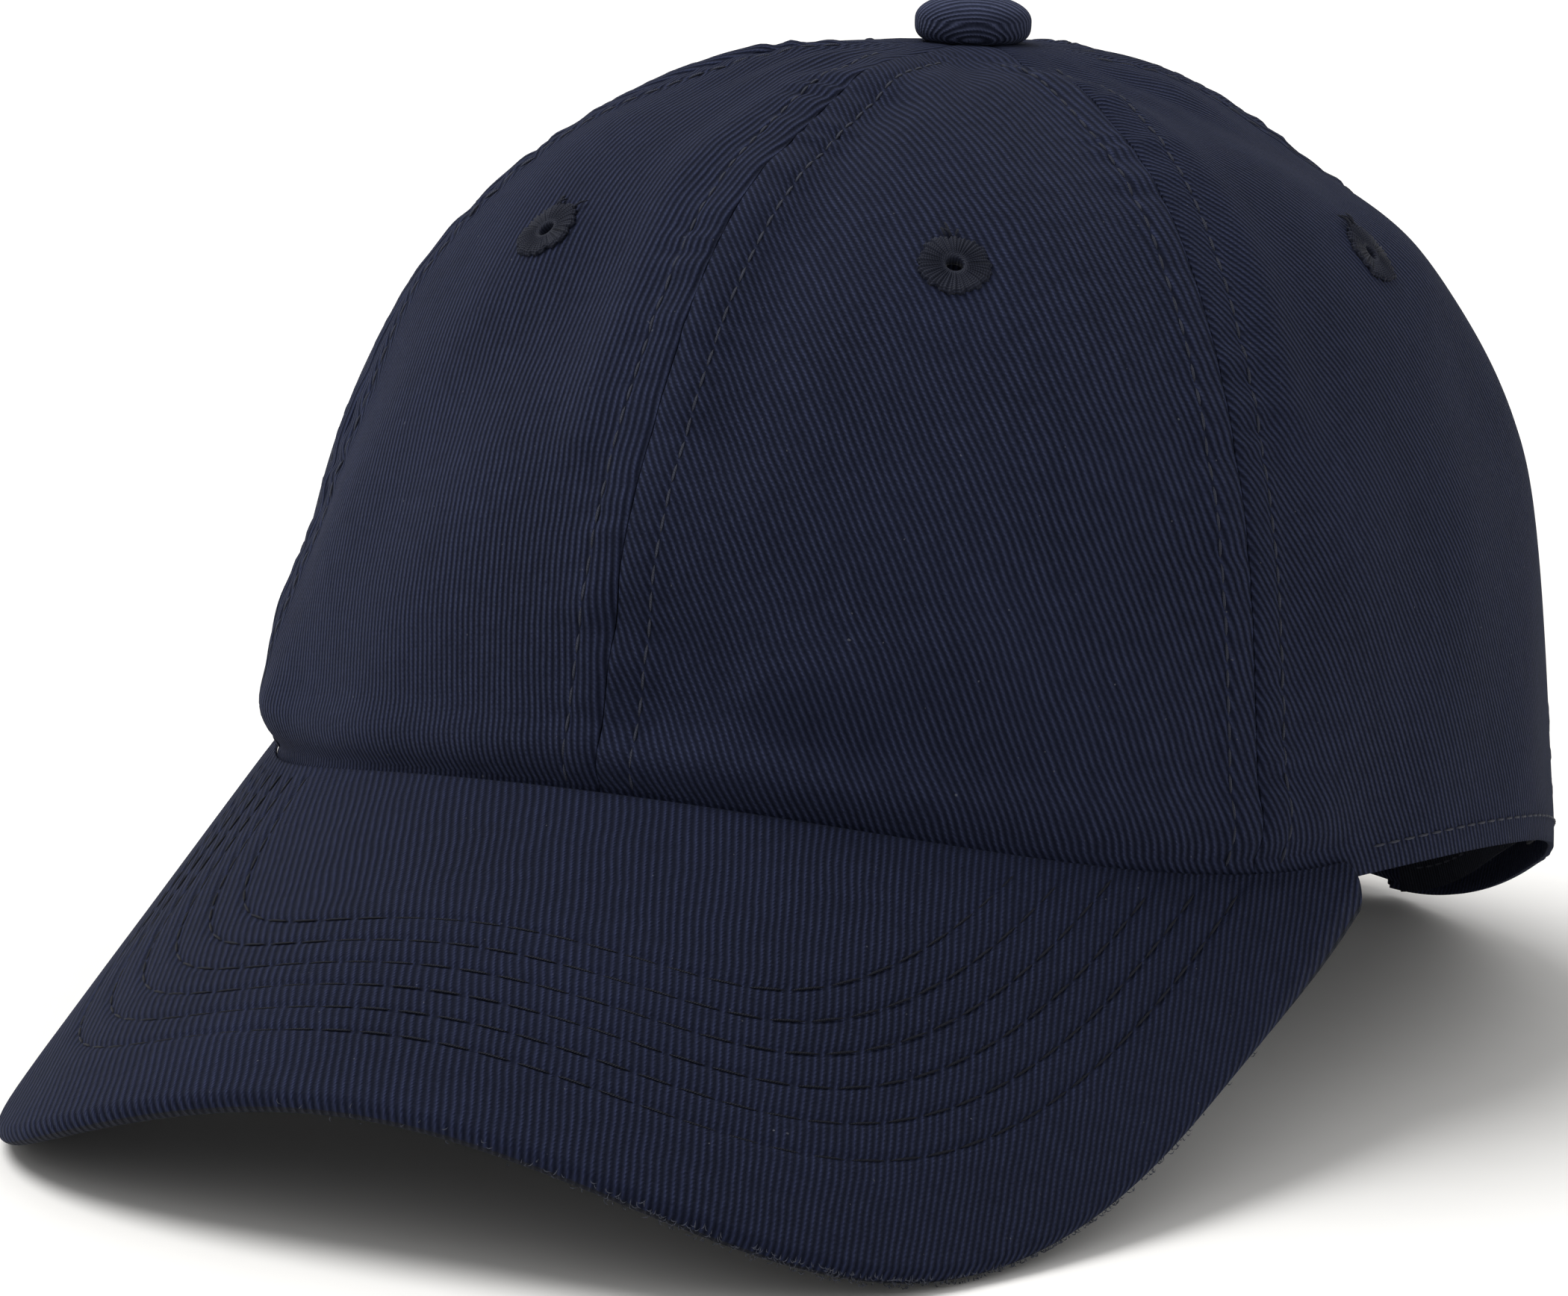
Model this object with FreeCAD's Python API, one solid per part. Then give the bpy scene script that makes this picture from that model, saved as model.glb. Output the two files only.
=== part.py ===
"""Soft six-panel baseball cap with a curved brim and a buckled back strap.

Frame: millimetres, +Z up, brim towards -Y, wearer's left towards +X.  The cap stands on a table at
z = 0, on the two lobes of its brim and the two back corners of its crown.  Angles named "round" run
round the crown's oval lower edge from the centre front (0) by the wearer's left to the centre back
(180).  Angles named "up" run up a crown meridian from the lower edge (0) to the top (90).
"""
import FreeCAD, Part
import math
import os

Vector = FreeCAD.Vector
UP = Vector(0, 0, 1)

# Crown ------------------------------------------------------------------------------------------
OVAL_Y = 28.9                  # centre of the crown's oval lower edge
RIM_HALF_WIDTH = 84.5
RIM_HALF_LENGTH = 103.0
CROWN_TOP = 128.95             # height of the cloth under the button
TOP_SHIFT = 6.0                # the top lies behind the oval's centre
FULLNESS = 2.4                 # exponent of the meridian: 2 is an ellipse, more is squarer
FRONT_FULLNESS = 0.22
SIDE_FULLNESS = 0.16
BACK_FULLNESS = 0.5            # the back wall stands more upright behind the strap
BACK_FROM = 125.0
BACK_TO = 160.0
TOP_SHARPNESS = 0.14
WAIST = 0.03                   # the meridian is drawn in by this share half way up
PANEL_FLATNESS = 0.012         # a panel is flatter than the oval between its seams
FRONT_SEAM = 55.4              # seam between front and side panel, degrees round
BACK_SEAM = 119.0              # seam between side and back panel
TOP_HOLE = 88.4                # the panels stop this far up, round the button's shank
SEAM_GAP = 0.16
CLOTH = 0.8                    # cotton twill of the panels

# Lower edge behind the brim -----------------------------------------------------------------------
TEMPLE = 64.6                  # the brim is sewn on from -TEMPLE to +TEMPLE round
SIDE_LIFT = 9.0                # the sides of the lower edge arch up off the table
FLAT_SHARE = 0.93              # share of the way back where the edge reaches the table
FLAT_POWER = 8

# Brim -------------------------------------------------------------------------------------------
BRIM_ROOT = 43.70              # top face of the brim at the centre front seam
BRIM_SLOPE = 23.0              # the middle of the brim slopes forwards and down
BRIM_RADIUS = 91.5             # arch radius where brim and crown meet
BRIM_TAPER = 0.15              # the arch tightens by this much per mm forwards
BRIM_LENGTH = 65.0             # at the centre, in the flat pattern
BRIM_END = 2.0                 # width of the brim's tip at the temple
BRIM_SQUARENESS = 2.88
SQUARE_FROM = 30.0             # the layers lie square to the top face this far from the crown
BRIM_COVER = 0.5
BRIM_BOARD = 1.9
BRIM_PLY_GAP = 0.05
BOARD_INSET = 2.6
BOARD_SPAN = 0.93
EDGE_SPAN = 0.96                # the covers' edges are turned in over this share of the brim
EDGE_TURN = 2.4
EDGE_SETBACK = 0.15
BRIM_THICKNESS = 2 * BRIM_COVER + BRIM_BOARD + 2 * BRIM_PLY_GAP
JUNCTION_GAP = 0.35

# Linings ----------------------------------------------------------------------------------------
TAPE_WIDTH = 15.0
TAPE_OUTER = -1.0
TAPE_INNER = -1.5
TAPE_LOW = 3.0                 # seam tapes start this high above the lower edge
TAPE_ABOVE = 1.0               # the centre back tape starts this far above the binding
LONG_TAPE_TOP = 82.0
SHORT_TAPE_TOP = 76.0
BAND_HEIGHT = 32.0
BAND_LOW = 1.0
BAND_OUTER = -2.4
BAND_PLY = 1.3
BAND_END = 146.0
BAND_STEP = 3.6                # the band stands this much further in where it passes the strap
BAND_STEP_FROM = 100.0
BAND_STEP_TO = 127.0

# Back opening and its binding ---------------------------------------------------------------------
OPENING_HALF_WIDTH = 38.0
OPENING_STRAIGHT = 10.0
OPENING_HEIGHT = 48.0
OPENING_LOW = -5.0             # the cutting prism starts below the table
CREST_STEP = 20                # degrees between the points of the opening's crest
THROUGH = 20.0                 # cutters run this far past what they cut
BINDING_WIDTH = 8.0
BINDING_LOW = 23.0
BINDING_HALF_ANGLE = 42.0      # the lining that the binding is cut from
BINDING_UP = 40.0

# Eyelets ----------------------------------------------------------------------------------------
EYELET_UP = 45.9
EYELET_BORE = 1.1
EYELET_NECK = 1.9
EYELET_RADIUS = 5.0
EYELET_HOLE = 2.15
EYELET_PROUD = 0.75
EYELET_LIFT = 0.2
EYELET_INSIDE = -1.6
EYELET_SHELF = -1.1

# Button -----------------------------------------------------------------------------------------
BUTTON_RADIUS = 8.2
BUTTON_HEIGHT = 6.2
BUTTON_EDGE = 2.6
BUTTON_COVER = 0.6
BUTTON_CROWNING = 1.0
BUTTON_LIFT = 0.3
SHANK_RADIUS = 1.3
SHANK_FIT = 0.03
SHANK_UP = 2.2
SHANK_DOWN = 3.6
SHANK_SHORT = 0.2              # the shank stops this far short of its socket's end
PIECE_GAP = 0.05
WASHER_RADIUS = 6.5
WASHER_PLY = 0.7
WASHER_DROP = 1.9
RIVET_HEAD = 2.6

# Strap, tab and buckle: concentric with the back of the oval ---------------------------------------
STRAP_AXIS_Y = OVAL_Y + RIM_HALF_LENGTH - RIM_HALF_WIDTH ** 2 / RIM_HALF_LENGTH
STRAP_INNER = 65.3
STRAP_OUTER = 66.6
STRAP_LOW = 2.2
STRAP_WIDTH = 18.0
STRAP_HALF_ANGLE = 44.0
TAB_INNER = 66.8
TAB_OUTER = 67.9
TAB_END_ANGLE = 45.0
TAB_PLY = 0.6
TAB_EDGE = 0.2
BUCKLE_ANGLE = 17.0            # centre of the buckle, from the centre back towards the wearer's left
BUCKLE_HALF_ANGLE = 9.6
BUCKLE_WALL = 1.0
BUCKLE_SIDE_GAP = 0.6
BUCKLE_PLATE_GAP = 0.3
BUCKLE_TOP = 69.3
BAR_OFFSET = 9.4
BAR_RADIUS = 0.75
BAR_CENTRE = 68.45
BAR_CLEARANCE = 0.2
PIN_OFFSET = 4.6
PIN_CENTRE = 68.65
PIN_RADIUS = 0.7
PIN_FIT = 0.05
BARREL_RADIUS = 1.75
CLASP_PLY = 1.0
CLASP_LENGTH = 14.0
CLASP_SIDE_GAP = 0.3
CLASP_LIP = 1.6
CLASP_CORNER = 2.2             # rounding of the finger lip's two corners

# Labels -----------------------------------------------------------------------------------------
LABEL_PLY = 0.35
LABEL_GAP = 0.2
LABEL_ABOVE = 6.0              # above the binding of the back opening
LABEL_HEIGHT = 16.0
LABEL_WIDTH = 42.0
CARE_AROUND = 88.0
CARE_WIDTH = 18.0
CARE_LOW = 6.0
LABEL_MARGIN = 4.0


def raised(value, power):
    """A value raised to a power, counting anything below zero as zero."""
    return max(value, 0.0) ** power


def smooth(value, start, end):
    """A gentle ramp from 0 at start to 1 at end."""
    share = min(1.0, max(0.0, (value - start) / (end - start)))
    return share * share * (3 - 2 * share)


def from_front(around):
    """Angle from the centre front, either way round, for an angle that may run on past the back."""
    return 180 - abs(180 - abs(around))


def oval(around):
    """Plan position on the crown's lower edge."""
    angle = math.radians(around)
    return RIM_HALF_WIDTH * math.sin(angle), OVAL_Y - RIM_HALF_LENGTH * math.cos(angle)


def brim_arch(forward):
    """Arch radius of the brim at a distance forward of its root."""
    return BRIM_RADIUS - BRIM_TAPER * forward


def brim_forward(y):
    """Distance forward of the brim's root in the flat pattern, for a plan position."""
    return (OVAL_Y - RIM_HALF_LENGTH - y) / math.cos(math.radians(BRIM_SLOPE))


def brim_height(x, y):
    """Height of the brim's top face over a plan position."""
    forward = brim_forward(y)
    arch = brim_arch(forward)
    drop = arch - math.sqrt(arch * arch - x * x)
    return BRIM_ROOT - forward * math.sin(math.radians(BRIM_SLOPE)) - drop


def rim_height(around):
    """Height of the crown's lower edge: on the brim in front, arching down to the table behind."""
    x, y = oval(around)
    if from_front(around) <= TEMPLE:
        return brim_height(x, y) - BRIM_THICKNESS
    temple_x, temple_y = oval(TEMPLE)
    temple_height = brim_height(temple_x, temple_y) - BRIM_THICKNESS
    back = (y - temple_y) / (OVAL_Y + RIM_HALF_LENGTH - temple_y)
    share = min(1.0, back / FLAT_SHARE)
    line = (1 - share) * (temple_height + 4 * SIDE_LIFT * share)
    return line * (1 - share ** FLAT_POWER)


def across_panel(around):
    """Share of the way across the panel that an angle round falls on."""
    turn = from_front(around)
    if turn < FRONT_SEAM:
        return turn / FRONT_SEAM
    if turn < BACK_SEAM:
        return (turn - FRONT_SEAM) / (BACK_SEAM - FRONT_SEAM)
    return (turn - BACK_SEAM) / (180 - BACK_SEAM)


def crown_outside(around, up):
    """Point of the crown's outer face: an oval whose meridians are superellipses."""
    turn = math.radians(around)
    rise_angle = math.radians(up)
    back = smooth(from_front(around), BACK_FROM, BACK_TO)
    power = FULLNESS + FRONT_FULLNESS * math.cos(turn) - SIDE_FULLNESS * math.cos(2 * turn)
    power += BACK_FULLNESS * back
    reach = raised(math.cos(rise_angle), 2 / power)
    rise = raised(math.sin(rise_angle), 2 / (power - TOP_SHARPNESS))
    flat = PANEL_FLATNESS * math.sin(math.pi * across_panel(around)) ** 2
    girth = reach * (1 - (WAIST * (1 - back) + flat) * math.sin(2 * rise_angle))
    x, y = oval(around)
    plan_y = OVAL_Y + (y - OVAL_Y) * girth + TOP_SHIFT * (1 - reach)
    return Vector(x * girth, plan_y, rim_height(around) * (1 - rise) + CROWN_TOP * rise)


def crown_normal(around, up):
    """Outward direction of the crown's outer face."""
    step = 0.05
    low = max(up - step, 0.0)
    high = min(up + step, 89.9)
    round_way = crown_outside(around + step, up) - crown_outside(around - step, up)
    up_way = crown_outside(around, high) - crown_outside(around, low)
    return round_way.cross(up_way).normalize()


def crown_point(around, up, depth):
    """Point at a distance outside the crown's outer face, or inside it when depth is negative."""
    return crown_outside(around, up) + crown_normal(around, up) * depth


def up_at_height(around, height):
    """How far up a meridian the crown's outer face reaches a height above its own lower edge."""
    low = 0.0
    high = 89.0
    base = rim_height(around)
    for _ in range(40):
        middle = (low + high) / 2
        if crown_outside(around, middle).z - base < height:
            low = middle
        else:
            high = middle
    return low


def girth_at(around, up):
    """Distance from the crown's axis to its outer face, for turning widths into angles."""
    point = crown_outside(around, up)
    return math.hypot(point.x, point.y - OVAL_Y - TOP_SHIFT)


def skin(point, columns, rows, depth):
    """A smooth surface through a grid of points at one depth."""
    grid = []
    for i in range(columns + 1):
        grid.append([point(i / columns, j / rows, depth) for j in range(rows + 1)])
    surface = Part.BSplineSurface()
    surface.interpolate(grid)
    return surface


def ply(point, columns, rows, outer, inner):
    """A closed solid of cloth or board between two depths of a curved surface."""
    skins = [skin(point, columns, rows, depth) for depth in (outer, inner)]
    faces = [surface.toShape() for surface in skins]
    for way, place in (("uIso", 0), ("uIso", 1), ("vIso", 2), ("vIso", 3)):
        edges = []
        for surface in skins:
            line = getattr(surface, way)(surface.bounds()[place])
            edges.append(line.toShape())
        faces.append(Part.makeRuledSurface(edges[0], edges[1]))
    shell = Part.Shell(faces)
    shell.sewShape(0.001)
    solid = Part.Solid(shell)
    if solid.Volume < 0:
        solid.reverse()
    return solid


def panel(start, end):
    """One crown panel between two seams, from the lower edge to the hole under the button."""
    def point(across, rise, depth):
        up = TOP_HOLE * rise
        edge = math.degrees(SEAM_GAP / 2 / girth_at((start + end) / 2, up))
        around = start + edge + (end - start - 2 * edge) * across
        return crown_point(around, up, depth)
    return ply(point, 12, 16, 0.0, -CLOTH)


def arch_prism(margin, low):
    """A prism through the back of the cap with the outline of the opening, grown by a margin.

    Its sides stand upright as far as the spring line, and a half ellipse closes it above.
    """
    half = OPENING_HALF_WIDTH + margin
    spring = max(OPENING_STRAIGHT, low)
    rise = OPENING_HEIGHT + margin - spring
    crest_points = []
    for turn in range(0, 181, CREST_STEP):
        angle = math.radians(turn)
        crest_points.append(Vector(-half * math.cos(angle), OVAL_Y, spring + rise * math.sin(angle)))
    crest = Part.BSplineCurve()
    crest.interpolate(crest_points)
    left = Vector(-half, OVAL_Y, low)
    right = Vector(half, OVAL_Y, low)
    sides = [Part.LineSegment(right, left).toShape(), crest.toShape()]
    if spring > low:
        sides.append(Part.LineSegment(left, crest_points[0]).toShape())
        sides.append(Part.LineSegment(crest_points[-1], right).toShape())
    outline = Part.Wire(Part.__sortEdges__(sides))
    return Part.Face(outline).extrude(Vector(0, RIM_HALF_LENGTH + THROUGH, 0))


def eyelet_place(start, end):
    """Centre of a panel's eyelet on the outer face, and its outward direction."""
    middle = (start + end) / 2
    return crown_outside(middle, EYELET_UP), crown_normal(middle, EYELET_UP)


def turned(shape, place, direction):
    """Carry a shape made about the Z axis to a place, its axis along a direction."""
    result = shape.copy()
    result.Placement = FreeCAD.Placement(place, FreeCAD.Rotation(UP, direction))
    return result


def revolved(corners):
    """A solid of revolution about Z from (radius, height) corners."""
    points = [Vector(radius, 0, height) for radius, height in corners]
    return Part.Face(Part.makePolygon(points + points[:1])).revolve(Vector(0, 0, 0), UP, 360)


def eyelet():
    """A worked ventilation eyelet: a ring outside, a neck through the cloth and a ring inside."""
    edge = 0.25
    return revolved([
        (EYELET_BORE, EYELET_INSIDE), (EYELET_RADIUS - 1, EYELET_INSIDE),
        (EYELET_RADIUS - 1, EYELET_SHELF), (EYELET_NECK, EYELET_SHELF),
        (EYELET_NECK, EYELET_LIFT), (EYELET_RADIUS, EYELET_LIFT),
        (EYELET_RADIUS, EYELET_PROUD - edge), (EYELET_RADIUS - edge, EYELET_PROUD),
        (EYELET_BORE + edge, EYELET_PROUD), (EYELET_BORE, EYELET_PROUD - edge)])


def seam_tape(seam, low, top):
    """Binding tape inside the crown over one seam."""
    def point(across, rise, depth):
        up = low + (top - low) * rise
        half = math.degrees(TAPE_WIDTH / 2 / girth_at(seam, up))
        return crown_point(seam + half * (2 * across - 1), up, depth)
    return ply(point, 4, 12, TAPE_OUTER, TAPE_INNER)


def sweatband():
    """The band inside the lower edge, from one side of the back opening round to the other."""
    def point(across, rise, depth):
        around = BAND_END * (2 * across - 1)
        low = up_at_height(around, BAND_LOW)
        high = up_at_height(around, BAND_HEIGHT)
        step = BAND_STEP * smooth(abs(around), BAND_STEP_FROM, BAND_STEP_TO)
        return crown_point(around, low + (high - low) * rise, depth - step)
    return ply(point, 48, 4, BAND_OUTER, BAND_OUTER - BAND_PLY)


def brim_root(around):
    """Flat pattern position where the brim meets the crown."""
    x, y = oval(around)
    grow = 1 + JUNCTION_GAP / RIM_HALF_WIDTH
    forward = brim_forward(OVAL_Y + (y - OVAL_Y) * grow)
    arch = brim_arch(forward)
    return arch * math.asin(x * grow / arch), forward


def brim_edge(across):
    """Flat pattern position on the brim's outer edge: a superellipse from temple to temple."""
    temple_side, temple_forward = brim_root(TEMPLE)
    half = temple_side + BRIM_END
    length = BRIM_LENGTH - temple_forward
    ray = math.radians(90 * across)
    side_share = abs(math.sin(ray)) / half
    forward_share = math.cos(ray) / length
    power = BRIM_SQUARENESS
    size = (side_share ** power + forward_share ** power) ** (-1 / power)
    return size * math.sin(ray), temple_forward + size * math.cos(ray)


def brim_place(across, out, start_inset, end_inset):
    """Flat pattern position between root and edge, with its distance from the root.

    The way runs from the root, or from start_inset short of the edge, to end_inset short of it.
    """
    root_side, root_forward = brim_root(TEMPLE * across)
    edge_side, edge_forward = brim_edge(across)
    way_side = edge_side - root_side
    way_forward = edge_forward - root_forward
    length = math.hypot(way_side, way_forward)
    start = 0.0 if start_inset is None else length - start_inset
    distance = start + (length - end_inset - start) * out
    share = distance / length
    return root_side + way_side * share, root_forward + way_forward * share, distance


def brim_outside(side, forward):
    """Bend a flat pattern position on to the arched brim."""
    arch = brim_arch(forward)
    slope = math.radians(BRIM_SLOPE)
    angle = side / arch
    y = OVAL_Y - RIM_HALF_LENGTH - forward * math.cos(slope)
    z = BRIM_ROOT - forward * math.sin(slope) - arch * (1 - math.cos(angle))
    return Vector(arch * math.sin(angle), y, z)


def brim_point(side, forward, distance, depth):
    """Point below the brim's top face: straight down at the root, square to the face further out."""
    step = 0.05
    side_way = brim_outside(side + step, forward) - brim_outside(side - step, forward)
    fore_way = brim_outside(side, forward + step) - brim_outside(side, forward - step)
    normal = fore_way.cross(side_way).normalize()
    square = smooth(distance, 0.0, SQUARE_FROM)
    way = UP * ((1 - square) / normal.z) + normal * square
    return brim_outside(side, forward) + way * depth


def brim_ply(outer, inner, span, start_inset, end_inset):
    """One layer of the brim, or the strip of it along the outer edge."""
    def point(across, out, depth):
        side, forward, distance = brim_place(span * (2 * across - 1), out, start_inset, end_inset)
        return brim_point(side, forward, distance, depth)
    rows = 6 if start_inset is None else 3
    return ply(point, 36, rows, outer, inner)


def upright(radius, low, length):
    """An upright cylinder on the crown's own axis."""
    return Part.makeCylinder(radius, length, Vector(0, top_y(), low))


def upright_cone(low_radius, high_radius, low):
    """A washer-thick cone on the crown's own axis."""
    return Part.makeCone(low_radius, high_radius, WASHER_PLY, Vector(0, top_y(), low))


def button_parts():
    """The covered button, its core, and the shank and washer that clinch it through the crown."""
    base = CROWN_TOP + BUTTON_LIFT
    inside = BUTTON_RADIUS - BUTTON_COVER
    inside_base = base + BUTTON_COVER
    inside_height = BUTTON_HEIGHT - 2 * BUTTON_COVER
    inside_edge = BUTTON_EDGE - BUTTON_COVER
    cover = button_dome(BUTTON_RADIUS, base, BUTTON_HEIGHT, BUTTON_EDGE)
    hollow = button_dome(inside, inside_base, inside_height, inside_edge)
    mouth = upright(inside - BUTTON_EDGE, base - BUTTON_COVER / 2, BUTTON_COVER * 2)
    core = button_dome(inside - PIECE_GAP, inside_base + PIECE_GAP, inside_height - 2 * PIECE_GAP,
                       inside_edge - PIECE_GAP)
    socket = upright(SHANK_RADIUS + SHANK_FIT, inside_base - PIECE_GAP, SHANK_UP)
    shank_low = CROWN_TOP - SHANK_DOWN
    shank = upright(SHANK_RADIUS, shank_low, inside_base + SHANK_UP - SHANK_SHORT - shank_low)
    head = upright_cone(RIVET_HEAD, SHANK_RADIUS, shank_low)
    washer_base = CROWN_TOP - WASHER_DROP - WASHER_PLY
    washer = upright_cone(WASHER_RADIUS, WASHER_RADIUS - WASHER_PLY, washer_base)
    bore = upright(SHANK_RADIUS + SHANK_FIT, washer_base - WASHER_PLY / 2, 2 * WASHER_PLY)
    return {
        "button_cover": cover.cut(hollow).cut(mouth),
        "button_core": core.cut(socket),
        "button_rivet": shank.fuse(head).removeSplitter(),
        "button_washer": washer.cut(bore),
    }


def top_y():
    """Where the crown's top lies, front to back."""
    return OVAL_Y + TOP_SHIFT


def button_dome(radius, base, height, edge):
    """A low disc with a rounded edge and a slightly domed top."""
    disc_height = height - BUTTON_CROWNING
    disc = Part.makeCylinder(radius, disc_height, Vector(0, top_y(), base))
    round_edge = min(edge, disc_height / 2 - 2 * PIECE_GAP)
    disc = disc.makeFillet(round_edge, disc.Edges[:1] + disc.Edges[2:])
    flat = radius - round_edge
    ball = (flat * flat + BUTTON_CROWNING ** 2) / (2 * BUTTON_CROWNING)
    sphere = Part.makeSphere(ball, Vector(0, top_y(), base + height - ball))
    lid = upright(flat, base + disc_height - 4 * PIECE_GAP, 2 * BUTTON_CROWNING)
    return disc.fuse(sphere.common(lid)).removeSplitter()


def sector(inner, outer, start, end, low, high):
    """A curved bar concentric with the strap, between two angles from the centre back."""
    corners = [Vector(inner, 0, low), Vector(outer, 0, low), Vector(outer, 0, high), Vector(inner, 0, high)]
    bar = Part.Face(Part.makePolygon(corners + corners[:1])).revolve(Vector(0, 0, 0), UP, end - start)
    bar.Placement = FreeCAD.Placement(Vector(0, STRAP_AXIS_Y, 0), FreeCAD.Rotation(UP, 90 - end))
    return bar


def on_buckle(offset, radius):
    """Plan place beside the buckle's centre: offset along the strap, radius from the strap's axis."""
    angle = math.radians(BUCKLE_ANGLE)
    x = radius * math.sin(angle) + offset * math.cos(angle)
    y = STRAP_AXIS_Y + radius * math.cos(angle) - offset * math.sin(angle)
    return Vector(x, y, 0)


def post(offset, centre, radius, low, high):
    """An upright round bar of the buckle."""
    place = on_buckle(offset, centre)
    place.z = low
    return Part.makeCylinder(radius, high - low, place)


def strap():
    """The adjusting strap: its wearer's-left end is the tail, the other end is sewn in."""
    return sector(STRAP_INNER, STRAP_OUTER, -STRAP_HALF_ANGLE, STRAP_HALF_ANGLE, STRAP_LOW,
                  STRAP_LOW + STRAP_WIDTH)


def strap_tab():
    """The short doubled tab that loops round the buckle's bar and is sewn inside the back panel."""
    low = STRAP_LOW + TAB_EDGE
    high = STRAP_LOW + STRAP_WIDTH - TAB_EDGE
    bar_angle = BUCKLE_ANGLE + math.degrees(BAR_OFFSET / BAR_CENTRE)
    flat = sector(TAB_INNER, TAB_OUTER, bar_angle, TAB_END_ANGLE, low, high)
    loop = post(BAR_OFFSET, BAR_CENTRE, BAR_RADIUS + BAR_CLEARANCE + TAB_PLY, low, high)
    hole = post(BAR_OFFSET, BAR_CENTRE, BAR_RADIUS + BAR_CLEARANCE, low - 1, high + 1)
    return flat.fuse(loop).cut(hole).removeSplitter()


def buckle_bounds():
    """Lowest and highest inner faces of the buckle's side walls."""
    return STRAP_LOW - BUCKLE_SIDE_GAP, STRAP_LOW + STRAP_WIDTH + BUCKLE_SIDE_GAP


def buckle_frame():
    """A stamped brass box: a plate behind the strap, a wall above and below, and a bar for the tab."""
    low, high = buckle_bounds()
    start = BUCKLE_ANGLE - BUCKLE_HALF_ANGLE
    end = BUCKLE_ANGLE + BUCKLE_HALF_ANGLE
    plate_outer = STRAP_INNER - BUCKLE_PLATE_GAP
    plate_inner = plate_outer - BUCKLE_WALL
    plate = sector(plate_inner, plate_outer, start, end, low - BUCKLE_WALL, high + BUCKLE_WALL)
    lower = sector(plate_inner, BUCKLE_TOP, start, end, low - BUCKLE_WALL, low)
    upper = sector(plate_inner, BUCKLE_TOP, start, end, high, high + BUCKLE_WALL)
    bar = post(BAR_OFFSET, BAR_CENTRE, BAR_RADIUS, low - BUCKLE_WALL / 2, high + BUCKLE_WALL / 2)
    frame = plate.fuse([lower, upper, bar])
    pin_hole = post(PIN_OFFSET, PIN_CENTRE, PIN_RADIUS + PIN_FIT / 4, low - 2 * BUCKLE_WALL,
                    high + 2 * BUCKLE_WALL)
    return frame.cut(pin_hole).removeSplitter()


def buckle_pin():
    """The clasp's hinge pin, set in the buckle's two side walls."""
    low, high = buckle_bounds()
    return post(PIN_OFFSET, PIN_CENTRE, PIN_RADIUS, low - BUCKLE_WALL, high + BUCKLE_WALL)


def _near_tip(point, tip):
    """Whether a point lies on the clasp's far edge."""
    along = (point - on_buckle(0.0, 0.0)).dot(on_buckle(1.0, 0.0) - on_buckle(0.0, 0.0))
    return abs(along - tip) < PIECE_GAP


def buckle_clasp():
    """The flip-up clasp: a barrel on the pin, a plate over the strap and a turned-out finger lip."""
    low, high = buckle_bounds()
    low += CLASP_SIDE_GAP
    high -= CLASP_SIDE_GAP
    barrel = post(PIN_OFFSET, PIN_CENTRE, BARREL_RADIUS, low, high)
    plate_outer = PIN_CENTRE + BARREL_RADIUS
    plate_inner = plate_outer - CLASP_PLY
    bend = PIN_OFFSET - CLASP_LENGTH
    tip = bend - CLASP_LIP
    kick = CLASP_LIP / 2
    corners = [on_buckle(PIN_OFFSET, plate_outer), on_buckle(bend, plate_outer),
               on_buckle(tip, plate_outer + kick), on_buckle(tip, plate_inner + kick),
               on_buckle(bend, plate_inner), on_buckle(PIN_OFFSET, plate_inner)]
    outline = Part.Face(Part.makePolygon(corners + corners[:1]))
    plate = outline.extrude(UP * (high - low))
    plate.translate(UP * low)
    tip_corners = []
    for edge in plate.Edges:
        ends = [vertex.Point for vertex in edge.Vertexes]
        if all(_near_tip(end, tip) for end in ends) and abs(ends[0].z - ends[1].z) < PIECE_GAP:
            tip_corners.append(edge)
    plate = plate.makeFillet(CLASP_CORNER, tip_corners)
    bore = post(PIN_OFFSET, PIN_CENTRE, PIN_RADIUS + PIN_FIT, low - 1, high + 1)
    return barrel.fuse(plate).cut(bore).removeSplitter()


def lining_label(middle, half_width, low, high, depth):
    """A blank woven label lying on the lining."""
    def point(across, rise, level):
        up = low + (high - low) * rise
        half = math.degrees(half_width / girth_at(middle, up))
        return crown_point(middle + half * (2 * across - 1), up, level)
    return ply(point, 4, 4, depth, depth - LABEL_PLY)


PANELS = {
    "front_panel": (0.0, FRONT_SEAM),
    "side_panel": (FRONT_SEAM, BACK_SEAM),
    "back_panel": (BACK_SEAM, 180.0),
}


def crown_parts():
    """The six panels with their eyelets, on both sides of the cap."""
    parts = {}
    opening = arch_prism(0.0, OPENING_LOW)
    for name, (start, end) in PANELS.items():
        for side, sense in (("left", 1), ("right", -1)):
            first, last = sorted((sense * start, sense * end))
            cloth = panel(first, last)
            place, direction = eyelet_place(first, last)
            punch = Part.makeCylinder(EYELET_HOLE, THROUGH, Vector(0, 0, -THROUGH / 2))
            cloth = cloth.cut(turned(punch, place, direction))
            if name == "back_panel":
                cloth = cloth.cut(opening)
            parts[f"{name}_{side}"] = cloth
            parts[f"eyelet_{name.split('_')[0]}_{side}"] = turned(eyelet(), place, direction)
    return parts


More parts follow.
